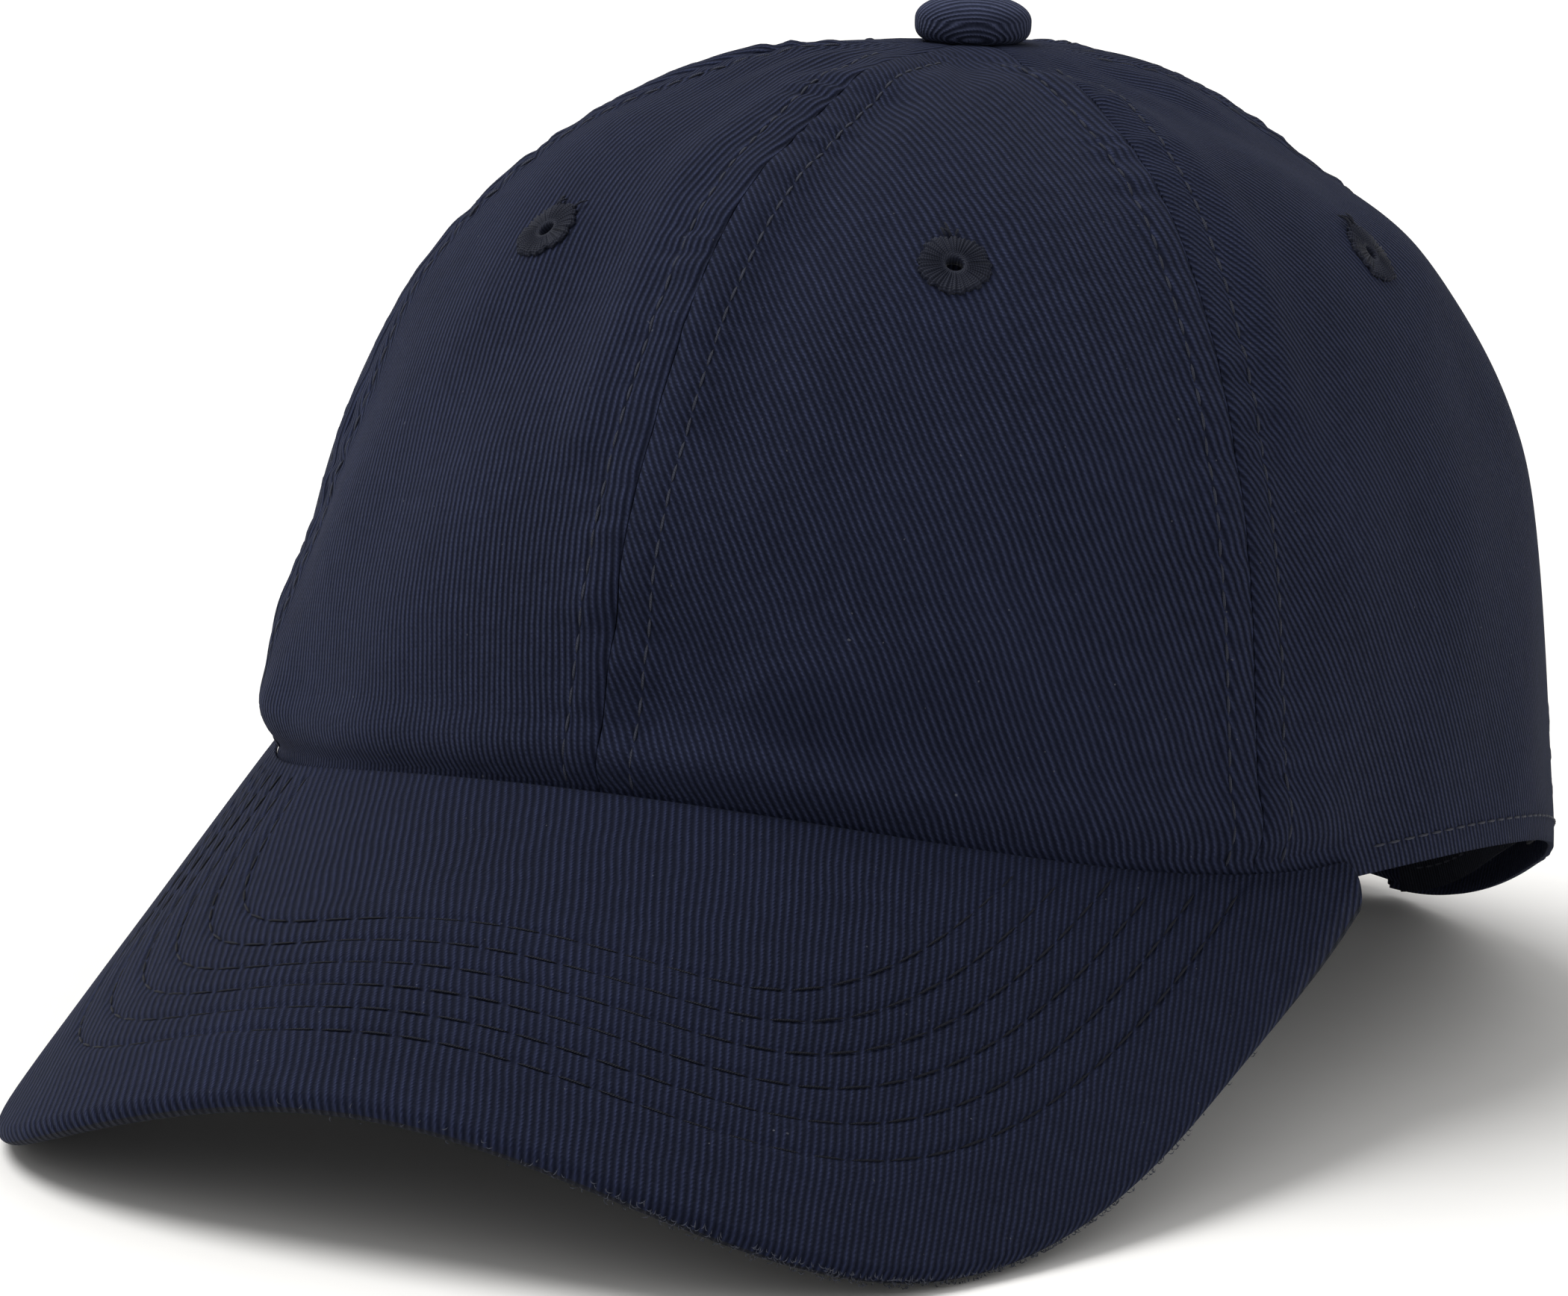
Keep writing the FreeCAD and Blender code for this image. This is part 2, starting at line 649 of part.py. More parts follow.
def lining_parts():
    """Seam tapes, the opening's binding, the sweatband and two blank labels."""
    parts = {}
    seams = {"centre_front": 0.0, "front_left": FRONT_SEAM, "front_right": -FRONT_SEAM,
             "back_left": BACK_SEAM, "back_right": -BACK_SEAM, "centre_back": 180.0}
    for name, seam in seams.items():
        low_height = TAPE_LOW
        if name == "centre_back":
            low_height = OPENING_HEIGHT + BINDING_WIDTH + TAPE_ABOVE
        top = LONG_TAPE_TOP if name.startswith("centre") else SHORT_TAPE_TOP
        parts[f"seam_tape_{name}"] = seam_tape(seam, up_at_height(seam, low_height), top)

    def back_lining(across, rise, depth):
        around = 180 + BINDING_HALF_ANGLE * (2 * across - 1)
        return crown_point(around, BINDING_UP * rise, depth)
    lining = ply(back_lining, 12, 8, TAPE_OUTER, TAPE_INNER)
    ring = arch_prism(BINDING_WIDTH, BINDING_LOW).cut(arch_prism(0.0, OPENING_LOW))
    parts["opening_binding"] = lining.common(ring)
    parts["sweatband"] = sweatband()
    above_opening = OPENING_HEIGHT + BINDING_WIDTH + LABEL_ABOVE
    label_low = up_at_height(180, above_opening)
    label_high = up_at_height(180, above_opening + LABEL_HEIGHT)
    label_depth = TAPE_INNER - LABEL_GAP
    parts["blank_label"] = lining_label(180, LABEL_WIDTH / 2, label_low, label_high, label_depth)
    care_low = up_at_height(CARE_AROUND, CARE_LOW)
    care_high = up_at_height(CARE_AROUND, BAND_HEIGHT - LABEL_MARGIN)
    care_depth = BAND_OUTER - BAND_PLY - LABEL_GAP
    parts["care_label"] = lining_label(CARE_AROUND, CARE_WIDTH / 2, care_low, care_high, care_depth)
    return parts


def brim_parts():
    """The brim's board between two cloth covers, whose turned-in edges meet round it."""
    board = -BRIM_COVER - BRIM_PLY_GAP
    under = board - BRIM_BOARD - BRIM_PLY_GAP
    middle = board - BRIM_BOARD / 2
    lap = BRIM_COVER / 3
    top_turn = brim_ply(lap - BRIM_COVER, middle + BRIM_PLY_GAP, EDGE_SPAN, EDGE_TURN, EDGE_SETBACK)
    under_turn = brim_ply(middle - BRIM_PLY_GAP, under - lap, EDGE_SPAN, EDGE_TURN, EDGE_SETBACK)
    top = brim_ply(0.0, -BRIM_COVER, 1.0, None, 0.0)
    bottom = brim_ply(under, under - BRIM_COVER, 1.0, None, 0.0)
    return {
        "brim_top_cover": top.fuse(top_turn),
        "brim_board": brim_ply(board, board - BRIM_BOARD, BOARD_SPAN, None, BOARD_INSET),
        "brim_under_cover": bottom.fuse(under_turn),
    }


def strap_parts():
    """The strap and everything that holds and adjusts it."""
    return {
        "strap": strap(),
        "strap_tab": strap_tab(),
        "buckle_frame": buckle_frame(),
        "buckle_pin": buckle_pin(),
        "buckle_clasp": buckle_clasp(),
    }


def main():
    """Build every piece and write one STEP file for each."""
    os.makedirs("parts", exist_ok=True)
    parts = {}
    for group in (crown_parts, lining_parts, brim_parts, button_parts, strap_parts):
        parts.update(group())
    box = FreeCAD.BoundBox()
    for name, shape in parts.items():
        box.add(shape.BoundBox)
        print(f"{name}: solids {len(shape.Solids)} valid {shape.isValid()} volume {shape.Volume:.1f}")
        shape.exportStep(f"parts/{name}.step")
    print(f"box {box.XMin:.2f} {box.XMax:.2f} {box.YMin:.2f} {box.YMax:.2f} {box.ZMin:.2f} {box.ZMax:.2f}")


main()
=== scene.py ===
"""Soft six-panel baseball cap with a curved brim: its cloth, thread, linings and metal finishes.

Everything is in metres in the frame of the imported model: +Z up, brim towards -Y, wearer's left
towards +X, standing on z = 0.  Angles named "around" run round the crown's oval lower edge from the
centre front (0) by the wearer's left to the centre back (180).  Angles named "up" run up a meridian
of the crown from the lower edge (0) to the top (90).
"""
from __future__ import annotations

import logging
import math
from dataclasses import dataclass, field
from enum import Enum
from typing import Sequence

import bpy
import numpy as np
from mathutils import Matrix, Vector


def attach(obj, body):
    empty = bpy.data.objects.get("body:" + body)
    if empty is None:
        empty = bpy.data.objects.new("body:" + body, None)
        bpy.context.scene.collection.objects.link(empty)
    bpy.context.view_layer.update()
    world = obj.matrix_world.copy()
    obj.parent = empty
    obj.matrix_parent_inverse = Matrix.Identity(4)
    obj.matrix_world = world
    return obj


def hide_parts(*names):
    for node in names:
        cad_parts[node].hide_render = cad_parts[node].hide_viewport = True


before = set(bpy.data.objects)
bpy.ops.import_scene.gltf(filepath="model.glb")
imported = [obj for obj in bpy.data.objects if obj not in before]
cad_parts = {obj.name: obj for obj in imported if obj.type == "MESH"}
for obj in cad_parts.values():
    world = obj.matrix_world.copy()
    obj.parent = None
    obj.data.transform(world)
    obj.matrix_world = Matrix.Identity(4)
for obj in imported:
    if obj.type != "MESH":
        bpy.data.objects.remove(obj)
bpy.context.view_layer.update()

Array = np.ndarray
MM = 0.001
CUT = "cut"
LOG = logging.getLogger("cap")


class Body(Enum):
    """The bodies of the frame that pieces ride on."""

    CAP = "cap"
    STRAP = "strap"


# Forms -------------------------------------------------------------------------------------------
def ramp(value: Array, start: float, end: float) -> Array:
    """A gentle ramp: share squared times (3 - 2 share), from 0 at start to 1 at end."""
    share = np.clip((value - start) / (end - start), 0.0, 1.0)
    return share * share * (3 - 2 * share)


def hill(value: Array, width: float) -> Array:
    """A bell: e to the power of minus (value over width) squared."""
    return np.exp(-((value / width) ** 2))


def unit(vectors: Array) -> Array:
    """Vectors made one long."""
    return vectors / np.maximum(np.linalg.norm(vectors, axis=-1, keepdims=True), 1e-12)


def from_front(around: Array) -> Array:
    """Angle from the centre front, either way round, for an angle that may run on past the back."""
    return 180 - np.abs(180 - np.abs(around))


def arc_lengths(line: Array) -> Array:
    """Length along a line of points up to each one."""
    return np.concatenate([[0.0], np.cumsum(np.linalg.norm(np.diff(line, axis=0), axis=-1))])


@dataclass(frozen=True)
class BrimForm:
    """The brim's flat pattern, and the arched and sloping surface that it is bent on to."""

    oval_y: float = 28.9 * MM
    half_width: float = 84.5 * MM
    half_length: float = 103.0 * MM
    temple: float = 64.6
    root_height: float = 43.70 * MM
    slope: float = math.radians(23.0)
    radius: float = 91.5 * MM
    taper: float = 0.15
    length: float = 66.3 * MM
    tip: float = 3.4 * MM
    squareness: float = 2.88
    square_from: float = 30.0 * MM
    thickness: float = 3.0 * MM
    junction: float = 0.35 * MM

    def forward_of(self, y: Array) -> Array:
        """Distance forward of the root: the plan distance over the slope's cosine."""
        return (self.oval_y - self.half_length - y) / math.cos(self.slope)

    def height(self, x: Array, y: Array) -> Array:
        """Height of the top face over a plan place: the root less the slope's and the arch's drop.

        Args:
            x: distance to the wearer's left.
            y: distance back.

        Returns:
            Heights in metres.
        """
        forward = self.forward_of(y)
        arch = self.radius - self.taper * forward
        return self.root_height - forward * math.sin(self.slope) - (arch - np.sqrt(arch**2 - x**2))

    def root(self, around: Array) -> tuple[Array, Array]:
        """Flat place where the brim meets the crown: the oval, unrolled from the arch.

        Args:
            around: angles round the crown.

        Returns:
            Flat distances to the side and forward.
        """
        turn = np.radians(around)
        grow = 1 + self.junction / self.half_width
        x = self.half_width * np.sin(turn) * grow
        forward = self.forward_of(self.oval_y - self.half_length * np.cos(turn) * grow)
        arch = self.radius - self.taper * forward
        return arch * np.arcsin(x / arch), forward

    def edge(self, across: Array) -> tuple[Array, Array]:
        """Flat place on the outer edge: a superellipse about the line between the temples.

        Args:
            across: ray, from -1 at the right temple to 1 at the left.

        Returns:
            Flat distances to the side and forward.
        """
        temple_side, temple_forward = self.root(np.float64(self.temple))
        half = temple_side + self.tip
        length = self.length - temple_forward
        ray = np.radians(90 * across)
        power = self.squareness
        side_share = np.abs(np.sin(ray)) / half
        size = (side_share**power + (np.cos(ray) / length) ** power) ** (-1 / power)
        return size * np.sin(ray), temple_forward + size * np.cos(ray)

    def outside(self, side: Array, forward: Array) -> Array:
        """Bend a flat place on to the arch: x = r sin, z falls by r (1 - cos) and by the slope.

        Args:
            side: flat distance to the side.
            forward: flat distance forward of the root.

        Returns:
            Points on the top face.
        """
        arch = self.radius - self.taper * forward
        angle = side / arch
        y = self.oval_y - self.half_length - forward * math.cos(self.slope)
        z = self.root_height - forward * math.sin(self.slope) - arch * (1 - np.cos(angle))
        return np.stack([arch * np.sin(angle), y, z], axis=-1)

    def outward(self, side: Array, forward: Array, distance: Array) -> Array:
        """Direction of depth: straight up at the root, square to the face further out.

        Args:
            side: flat distance to the side.
            forward: flat distance forward.
            distance: distance from the root along the ray.

        Returns:
            Directions, a little over one long where they lean.
        """
        step = 0.05 * MM
        across = self.outside(side + step, forward) - self.outside(side - step, forward)
        along = self.outside(side, forward + step) - self.outside(side, forward - step)
        normal = unit(np.cross(along, across))
        square = ramp(distance, 0.0, self.square_from)[..., None]
        return np.array([0.0, 0.0, 1.0]) * ((1 - square) / normal[..., 2:]) + normal * square

    def place(self, across: Array, share: Array) -> tuple[Array, Array, Array]:
        """Flat place a share of the way from root to edge along a ray, and the ray's length.

        Args:
            across: ray, from -1 to 1.
            share: share of the way out.

        Returns:
            Flat distances to the side and forward, and the ray's length.
        """
        root_side, root_forward = self.root(self.temple * across)
        edge_side, edge_forward = self.edge(across)
        length = np.hypot(edge_side - root_side, edge_forward - root_forward)
        return (root_side + (edge_side - root_side) * share,
                root_forward + (edge_forward - root_forward) * share, length)

    def edge_distance(self, side: Array, forward: Array) -> Array:
        """Distance in the flat pattern to the nearest of many places on the outer edge.

        Args:
            side: flat distance to the side.
            forward: flat distance forward.

        Returns:
            Distances in metres.
        """
        edge_side, edge_forward = self.edge(np.linspace(-1, 1, 361))
        nearest = np.full(side.shape, 1.0, np.float32)
        for chunk in np.array_split(np.arange(edge_side.size), 12):
            gap = np.hypot(side[..., None] - edge_side[chunk],
                           forward[..., None] - edge_forward[chunk])
            nearest = np.minimum(nearest, gap.min(axis=-1))
        return nearest.astype(float)


@dataclass(frozen=True)
class CrownForm:
    """The crown's smooth outer face: an oval whose meridians are superellipses."""

    brim: BrimForm = BrimForm()
    top: float = 128.95 * MM
    top_shift: float = 6.0 * MM
    fullness: float = 2.4
    front_fullness: float = 0.22
    side_fullness: float = 0.16
    back_fullness: float = 0.5
    back_from: float = 125.0
    back_to: float = 160.0
    top_sharpness: float = 0.14
    waist: float = 0.03
    flatness: float = 0.012
    front_seam: float = 55.4
    back_seam: float = 119.0
    side_lift: float = 9.0 * MM
    flat_share: float = 0.93
    flat_power: int = 8
    top_hole: float = 88.4

    @property
    def axis_y(self) -> float:
        """Where the crown's top lies, front to back."""
        return self.brim.oval_y + self.top_shift

    @property
    def seams(self) -> tuple[float, ...]:
        """The six seams, in degrees around."""
        front, back = self.front_seam, self.back_seam
        return (0.0, front, -front, back, -back, 180.0)

    def oval(self, around: Array) -> tuple[Array, Array]:
        """Plan place on the lower edge."""
        turn = np.radians(around)
        return (self.brim.half_width * np.sin(turn),
                self.brim.oval_y - self.brim.half_length * np.cos(turn))

    def rim(self, around: Array) -> Array:
        """Height of the lower edge: under the brim in front, arching down to the table behind.

        Args:
            around: angles round the crown.

        Returns:
            Heights over the table.
        """
        turn = from_front(around)
        x, y = self.oval(turn)
        temple_x, temple_y = self.oval(np.float64(self.brim.temple))
        thickness = self.brim.thickness
        on_brim = self.brim.height(np.minimum(x, temple_x), np.minimum(y, temple_y)) - thickness
        temple_height = self.brim.height(temple_x, temple_y) - thickness
        back = (y - temple_y) / (self.brim.oval_y + self.brim.half_length - temple_y)
        share = np.clip(back / self.flat_share, 0.0, 1.0)
        line = (1 - share) * (temple_height + 4 * self.side_lift * share)
        return np.where(turn <= self.brim.temple, on_brim, line * (1 - share**self.flat_power))

    def power(self, around: Array) -> Array:
        """Exponent of the meridian at an angle around.

        Args:
            around: angles round the crown.

        Returns:
            Exponents.
        """
        turn = np.radians(around)
        back = ramp(from_front(around), self.back_from, self.back_to)
        return (self.fullness + self.front_fullness * np.cos(turn)
                - self.side_fullness * np.cos(2 * turn) + self.back_fullness * back)

    def girth(self, around: Array, up: Array) -> tuple[Array, Array]:
        """How far out of the axis a meridian stands, as a share of the oval, with its plain reach.

        Args:
            around: angles round the crown.
            up: angles up the meridians.

        Returns:
            The share with the waist and flat panels drawn in, and the plain reach.
        """
        lift = np.radians(np.clip(up, 0.0, 90.0))
        turn = from_front(around)
        front, rear = self.front_seam, self.back_seam
        side = (turn - front) / (rear - front)
        across = np.where(turn < front, turn / front, np.where(turn < rear, side,
                          (turn - rear) / (180 - rear)))
        reach = np.cos(lift) ** (2 / self.power(around))
        back = ramp(turn, self.back_from, self.back_to)
        drawn_in = self.waist * (1 - back) + self.flatness * np.sin(np.pi * across) ** 2
        return reach * (1 - drawn_in * np.sin(2 * lift)), reach

    def outside(self, around: Array, up: Array) -> Array:
        """Point of the outer face: the oval times the girth, from the rim's height to the top.

        Args:
            around: angles round the crown.
            up: angles up the meridians.

        Returns:
            Points on the smooth outer face.
        """
        around, up = np.broadcast_arrays(np.asarray(around, float), np.asarray(up, float))
        girth, reach = self.girth(around, up)
        lift = np.radians(np.clip(up, 0.0, 90.0))
        rise = np.sin(lift) ** (2 / (self.power(around) - self.top_sharpness))
        x, y = self.oval(around)
        plan_y = self.brim.oval_y + (y - self.brim.oval_y) * girth + self.top_shift * (1 - reach)
        height = self.rim(around) * (1 - rise) + self.top * rise
        return np.stack([x * girth, plan_y, height], axis=-1)

    def normal(self, around: Array, up: Array) -> Array:
        """Outward direction: the way round crossed with the way up.

        Args:
            around: angles round the crown.
            up: angles up the meridians.

        Returns:
            Directions one long.
        """
        around, up = np.broadcast_arrays(np.asarray(around, float), np.asarray(up, float))
        step = 0.05
        low, high = np.maximum(up - step, 0.0), np.minimum(up + step, 89.9)
        round_way = self.outside(around + step, up) - self.outside(around - step, up)
        return unit(np.cross(round_way, self.outside(around, high) - self.outside(around, low)))

    def degree(self, around: Array, up: Array) -> Array:
        """Length round the outer face of one degree."""
        step = self.outside(around + 0.5, up) - self.outside(around - 0.5, up)
        return np.linalg.norm(step, axis=-1)

    def up_table(self, around: float = 30.0) -> tuple[Array, Array]:
        """Angles up a meridian and the cloth's length from the lower edge to each.

        Args:
            around: the meridian's angle round the crown.

        Returns:
            Angles up, and lengths in metres.
        """
        up = np.linspace(0.0, self.top_hole, 800)
        return up, arc_lengths(self.outside(around, up))

    def up_at(self, around: Array, height: Array) -> Array:
        """How far up a meridian the face stands at a height above its own lower edge.

        Args:
            around: angles round the crown.
            height: heights above the lower edge.

        Returns:
            Angles up.
        """
        rim = self.rim(around)
        rise = np.clip(height / (self.top - rim), 0.0, 1.0)
        return np.degrees(np.arcsin(rise ** ((self.power(around) - self.top_sharpness) / 2)))

    def behind(self, x: Array, z: Array) -> tuple[Array, Array]:
        """Angles of the point at the back of the crown that has a given x and height.

        Args:
            x: distance to the wearer's left.
            z: height over the table.

        Returns:
            Angles around and up.
        """
        around = np.full(np.shape(x), 180.0)
        up = np.zeros(np.shape(x))
        for _ in range(25):
            up = self.up_at(around, z - self.rim(around))
            girth, _ = self.girth(around, up)
            share = np.clip(x / (self.brim.half_width * girth), -0.999, 0.999)
            around = 180 - np.degrees(np.arcsin(share))
        return around, up


@dataclass(frozen=True)
class Fold:
    """A ridge or valley of slack cloth along a line of (around, up) places."""

    line: tuple[tuple[float, float], ...]
    width: float
    lift: float

    def relief(self, form: CrownForm, points: Array) -> Array:
        """Lift times the bell of the distance to the line's nearest segment.

        Args:
            form: the crown's smooth form.
            points: places on the crown.

        Returns:
            Heights over the smooth form.
        """
        ends = form.outside(*np.array(self.line).T)
        nearest = np.full(points.shape[:-1], 1.0)
        for start, end in zip(ends[:-1], ends[1:]):
            way = end - start
            share = np.clip(((points - start) @ way) / (way @ way), 0.0, 1.0)
            gap = np.linalg.norm(points - start - share[..., None] * way, axis=-1)
            nearest = np.minimum(nearest, gap)
        return self.lift * hill(nearest, self.width)


FOLDS: tuple[Fold, ...] = (
    Fold(((10, 70), (8, 45), (9, 28)), 6.0 * MM, -1.9 * MM),
    Fold(((2, 56), (1.5, 38)), 4.5 * MM, 0.7 * MM),
    Fold(((1, 12.5), (10, 9.5)), 4.2 * MM, -1.5 * MM),
    Fold(((3, 7), (22, 5.5)), 4.0 * MM, -1.3 * MM),
    Fold(((14, 9), (30, 12)), 6.0 * MM, 0.8 * MM),
    Fold(((-13, 72), (-11, 54), (-8, 40), (-7, 27)), 4.5 * MM, 1.1 * MM),
    Fold(((46, 80), (62, 68), (63.5, 45), (62.5, 32)), 4.5 * MM, 1.2 * MM),
    Fold(((-57, 8), (-50, 4)), 9.0 * MM, 2.2 * MM),
    Fold(((-53, 17), (-50, 27)), 10.0 * MM, -1.0 * MM),
    Fold(((-30, 20), (-20, 38)), 12.0 * MM, -1.0 * MM),
    Fold(((-38, 60), (-30, 40)), 10.0 * MM, 0.8 * MM),
    Fold(((40, 30), (36, 60)), 11.0 * MM, 0.7 * MM),
    Fold(((80, 20), (96, 34)), 12.0 * MM, -0.9 * MM),
    Fold(((102, 44), (113, 29)), 16.0 * MM, 2.4 * MM),
    Fold(((68, 82), (84, 71), (100, 61)), 16.0 * MM, -2.9 * MM),
    Fold(((-90, 24), (-104, 44)), 13.0 * MM, -1.2 * MM),
    Fold(((-70, 12), (-96, 9)), 9.0 * MM, 0.9 * MM),
    Fold(((132, 30), (150, 52)), 12.0 * MM, -1.1 * MM),
    Fold(((-150, 62), (-138, 36)), 11.0 * MM, -1.0 * MM),
    Fold(((168, 48), (176, 70)), 9.0 * MM, 0.8 * MM),
)


@dataclass
class CrownCloth:
    """The crown's cloth as it lies: the smooth form with its seams, puckers, folds and softness."""

    form: CrownForm = field(default_factory=CrownForm)
    groove: float = 0.34 * MM
    groove_width: float = 0.7 * MM
    allowance: float = 0.45 * MM
    row_offset: float = 4.5 * MM
    row_sink: float = 0.34 * MM
    pucker: float = 0.27 * MM
    pucker_length: float = 7.6 * MM
    softness: float = 0.26 * MM
    gathers: float = 0.42 * MM
    eyelet_up: float = 45.9
    eyelet_flat: float = 6.5 * MM
    tuck: float = 0.9 * MM
    tuck_at: float = 3.4 * MM
    overhang: float = 1.0 * MM

    def __post_init__(self) -> None:
        self.table = self.form.up_table()
        rng = np.random.default_rng(11)
        waves = unit(rng.normal(size=(12, 3))) * (2 * np.pi / rng.uniform(24, 58, (12, 1))) / MM
        self.waves = waves
        self.phases = rng.uniform(0, 2 * np.pi, 12)
        self.seam_phases = rng.uniform(0, 2 * np.pi, (6, 2))

    def eyelets(self) -> tuple[float, ...]:
        """The middle of each panel, in degrees around.

        Returns:
            Angles round the crown, the three left panels first.
        """
        front, back = self.form.front_seam, self.form.back_seam
        middles = (front / 2, (front + back) / 2, (back + 180) / 2)
        return middles + tuple(-middle for middle in middles)

    def relief(self, around: Array, up: Array) -> Array:
        """Height of the lying cloth over the smooth form.

        Near each seam: a groove, a raised allowance that ends at its sunk stitch row, and puckers,
        which are sines of the length up the seam.  Elsewhere: folds, gathers under the button and a
        sum of slow sines.  All but the seams die away at the eyelets and under the button.

        Args:
            around: angles round the crown.
            up: angles up the meridians.

        Returns:
            Heights in metres, positive outwards.
        """
        points = self.form.outside(around, up)
        degree = self.form.degree(around, up)
        length = np.interp(up, *self.table)
        near_top = ramp(np.hypot(points[..., 0], points[..., 1] - self.form.axis_y), 8 * MM, 26 * MM)
        seams = np.zeros(points.shape[:-1])
        for number, seam in enumerate(self.form.seams):
            offset = (around - seam + 180) % 360 - 180
            gap = np.abs(offset) * degree
            phase = np.where(offset >= 0, self.seam_phases[number, 0], self.seam_phases[number, 1])
            beat = 2 * np.pi * length / self.pucker_length
            wave = np.sin(beat + 2.7 * np.sin(beat / 4.7 + phase) + 0.9 * np.sin(beat / 1.7) + phase)
            strength = 0.55 + 0.45 * np.sin(beat / 6.1 + 2 * phase)
            seams += self.allowance * (1 - ramp(gap, 4.3 * MM, 6.4 * MM)) * near_top
            seams += self.pucker * wave * strength * hill(gap - 3.2 * MM, 4.2 * MM) * near_top
            seams -= self.groove * hill(gap, self.groove_width) * (0.4 + 0.6 * near_top)
            seams -= self.row_sink * hill(gap - self.row_offset, 0.6 * MM) * near_top
        slack = np.zeros(points.shape[:-1])
        for fold in FOLDS:
            slack += fold.relief(self.form, points)
        for wave, phase in zip(self.waves, self.phases):
            slack += self.softness / math.sqrt(6) * np.sin(points @ wave + phase)
        turn = np.radians(around)
        fan = np.sin(11 * turn + 0.8) + 0.8 * np.sin(17 * turn + 2.1) + 0.6 * np.sin(23 * turn)
        slack += self.gathers * 0.6 * fan * hill(up - 75, 8.0)
        slack *= near_top
        for middle in self.eyelets():
            centre = self.form.outside(middle, self.eyelet_up)
            flat = hill(np.linalg.norm(points - centre, axis=-1), self.eyelet_flat)
            slack -= flat * (slack - self.level_at(middle)) * 0.85
        edge = ramp(length, 0.0, 9 * MM)
        over_brim = 1 - ramp(from_front(around), self.form.brim.temple - 4, self.form.brim.temple + 3)
        tucked = (self.overhang * hill(length - 8.0 * MM, 3.2 * MM)
                  - self.tuck * hill(length - self.tuck_at, 1.3 * MM)) * over_brim
        return seams * (0.35 + 0.65 * edge) + slack * (0.25 + 0.75 * edge) + tucked

    def level_at(self, middle: float) -> float:
        """Height of the slack cloth at a panel's eyelet, from the folds alone."""
        centre = self.form.outside(middle, self.eyelet_up)
        return float(sum(fold.relief(self.form, centre[None])[0] for fold in FOLDS))

    def point(self, around: Array, up: Array, depth: float = 0.0) -> Array:
        """Point on the lying cloth, or at a depth from it.

        Args:
            around: angles round the crown.
            up: angles up the meridians.
            depth: distance outwards from the cloth.

        Returns:
            Points in metres.
        """
        height = (self.relief(around, up) + depth)[..., None]
        return self.form.outside(around, up) + self.form.normal(around, up) * height

    def up_of_length(self, length: Array) -> Array:
        """Angle up a meridian for a length of cloth from the lower edge."""
        return np.interp(length, self.table[1], self.table[0])


# Shader maths ------------------------------------------------------------------------------------
class Signal:
    """A socket's value, with the operators that add Math nodes."""

    def __init__(self, graph: "Graph", socket: bpy.types.NodeSocket) -> None:
        """Keep the graph and the socket that the value comes from."""
        self.graph = graph
        self.socket = socket

    def _math(self, operation: str, *values: "Signal | float") -> "Signal":
        """A Math node on these values."""
        node = self.graph.node("ShaderNodeMath", {"operation": operation}, dict(enumerate(values)))
        return Signal(self.graph, node.outputs[0])

    def __add__(self, other: "Signal | float") -> "Signal":
        """Sum."""
        return self._math("ADD", self, other)

    def __sub__(self, other: "Signal | float") -> "Signal":
        """Difference."""
        return self._math("SUBTRACT", self, other)

    def __rsub__(self, other: float) -> "Signal":
        """Difference from a number."""
        return self._math("SUBTRACT", other, self)

    def __mul__(self, other: "Signal | float") -> "Signal":
        """Product."""
        return self._math("MULTIPLY", self, other)

    __radd__ = __add__
    __rmul__ = __mul__

    def __pow__(self, other: float) -> "Signal":
        """Power."""
        return self._math("POWER", self, other)

    def sine(self) -> "Signal":
        """Sine, from -1 to 1."""
        return self._math("SINE", self)

    def step_up(self, low: float, high: float) -> "Signal":
        """A smooth step from 0 at low to 1 at high.

        Args:
            low: value where it is still 0.
            high: value where it has reached 1.

        Returns:
            The stepped signal.
        """
        settings = {"interpolation_type": "SMOOTHSTEP"}
        node = self.graph.node("ShaderNodeMapRange", settings, {"Value": self, 1: low, 2: high})
        return Signal(self.graph, node.outputs[0])


Color = tuple[float, float, float, float]


def shade(red: float, green: float, blue: float) -> Color:
    """An opaque colour."""
    return (red, green, blue, 1.0)


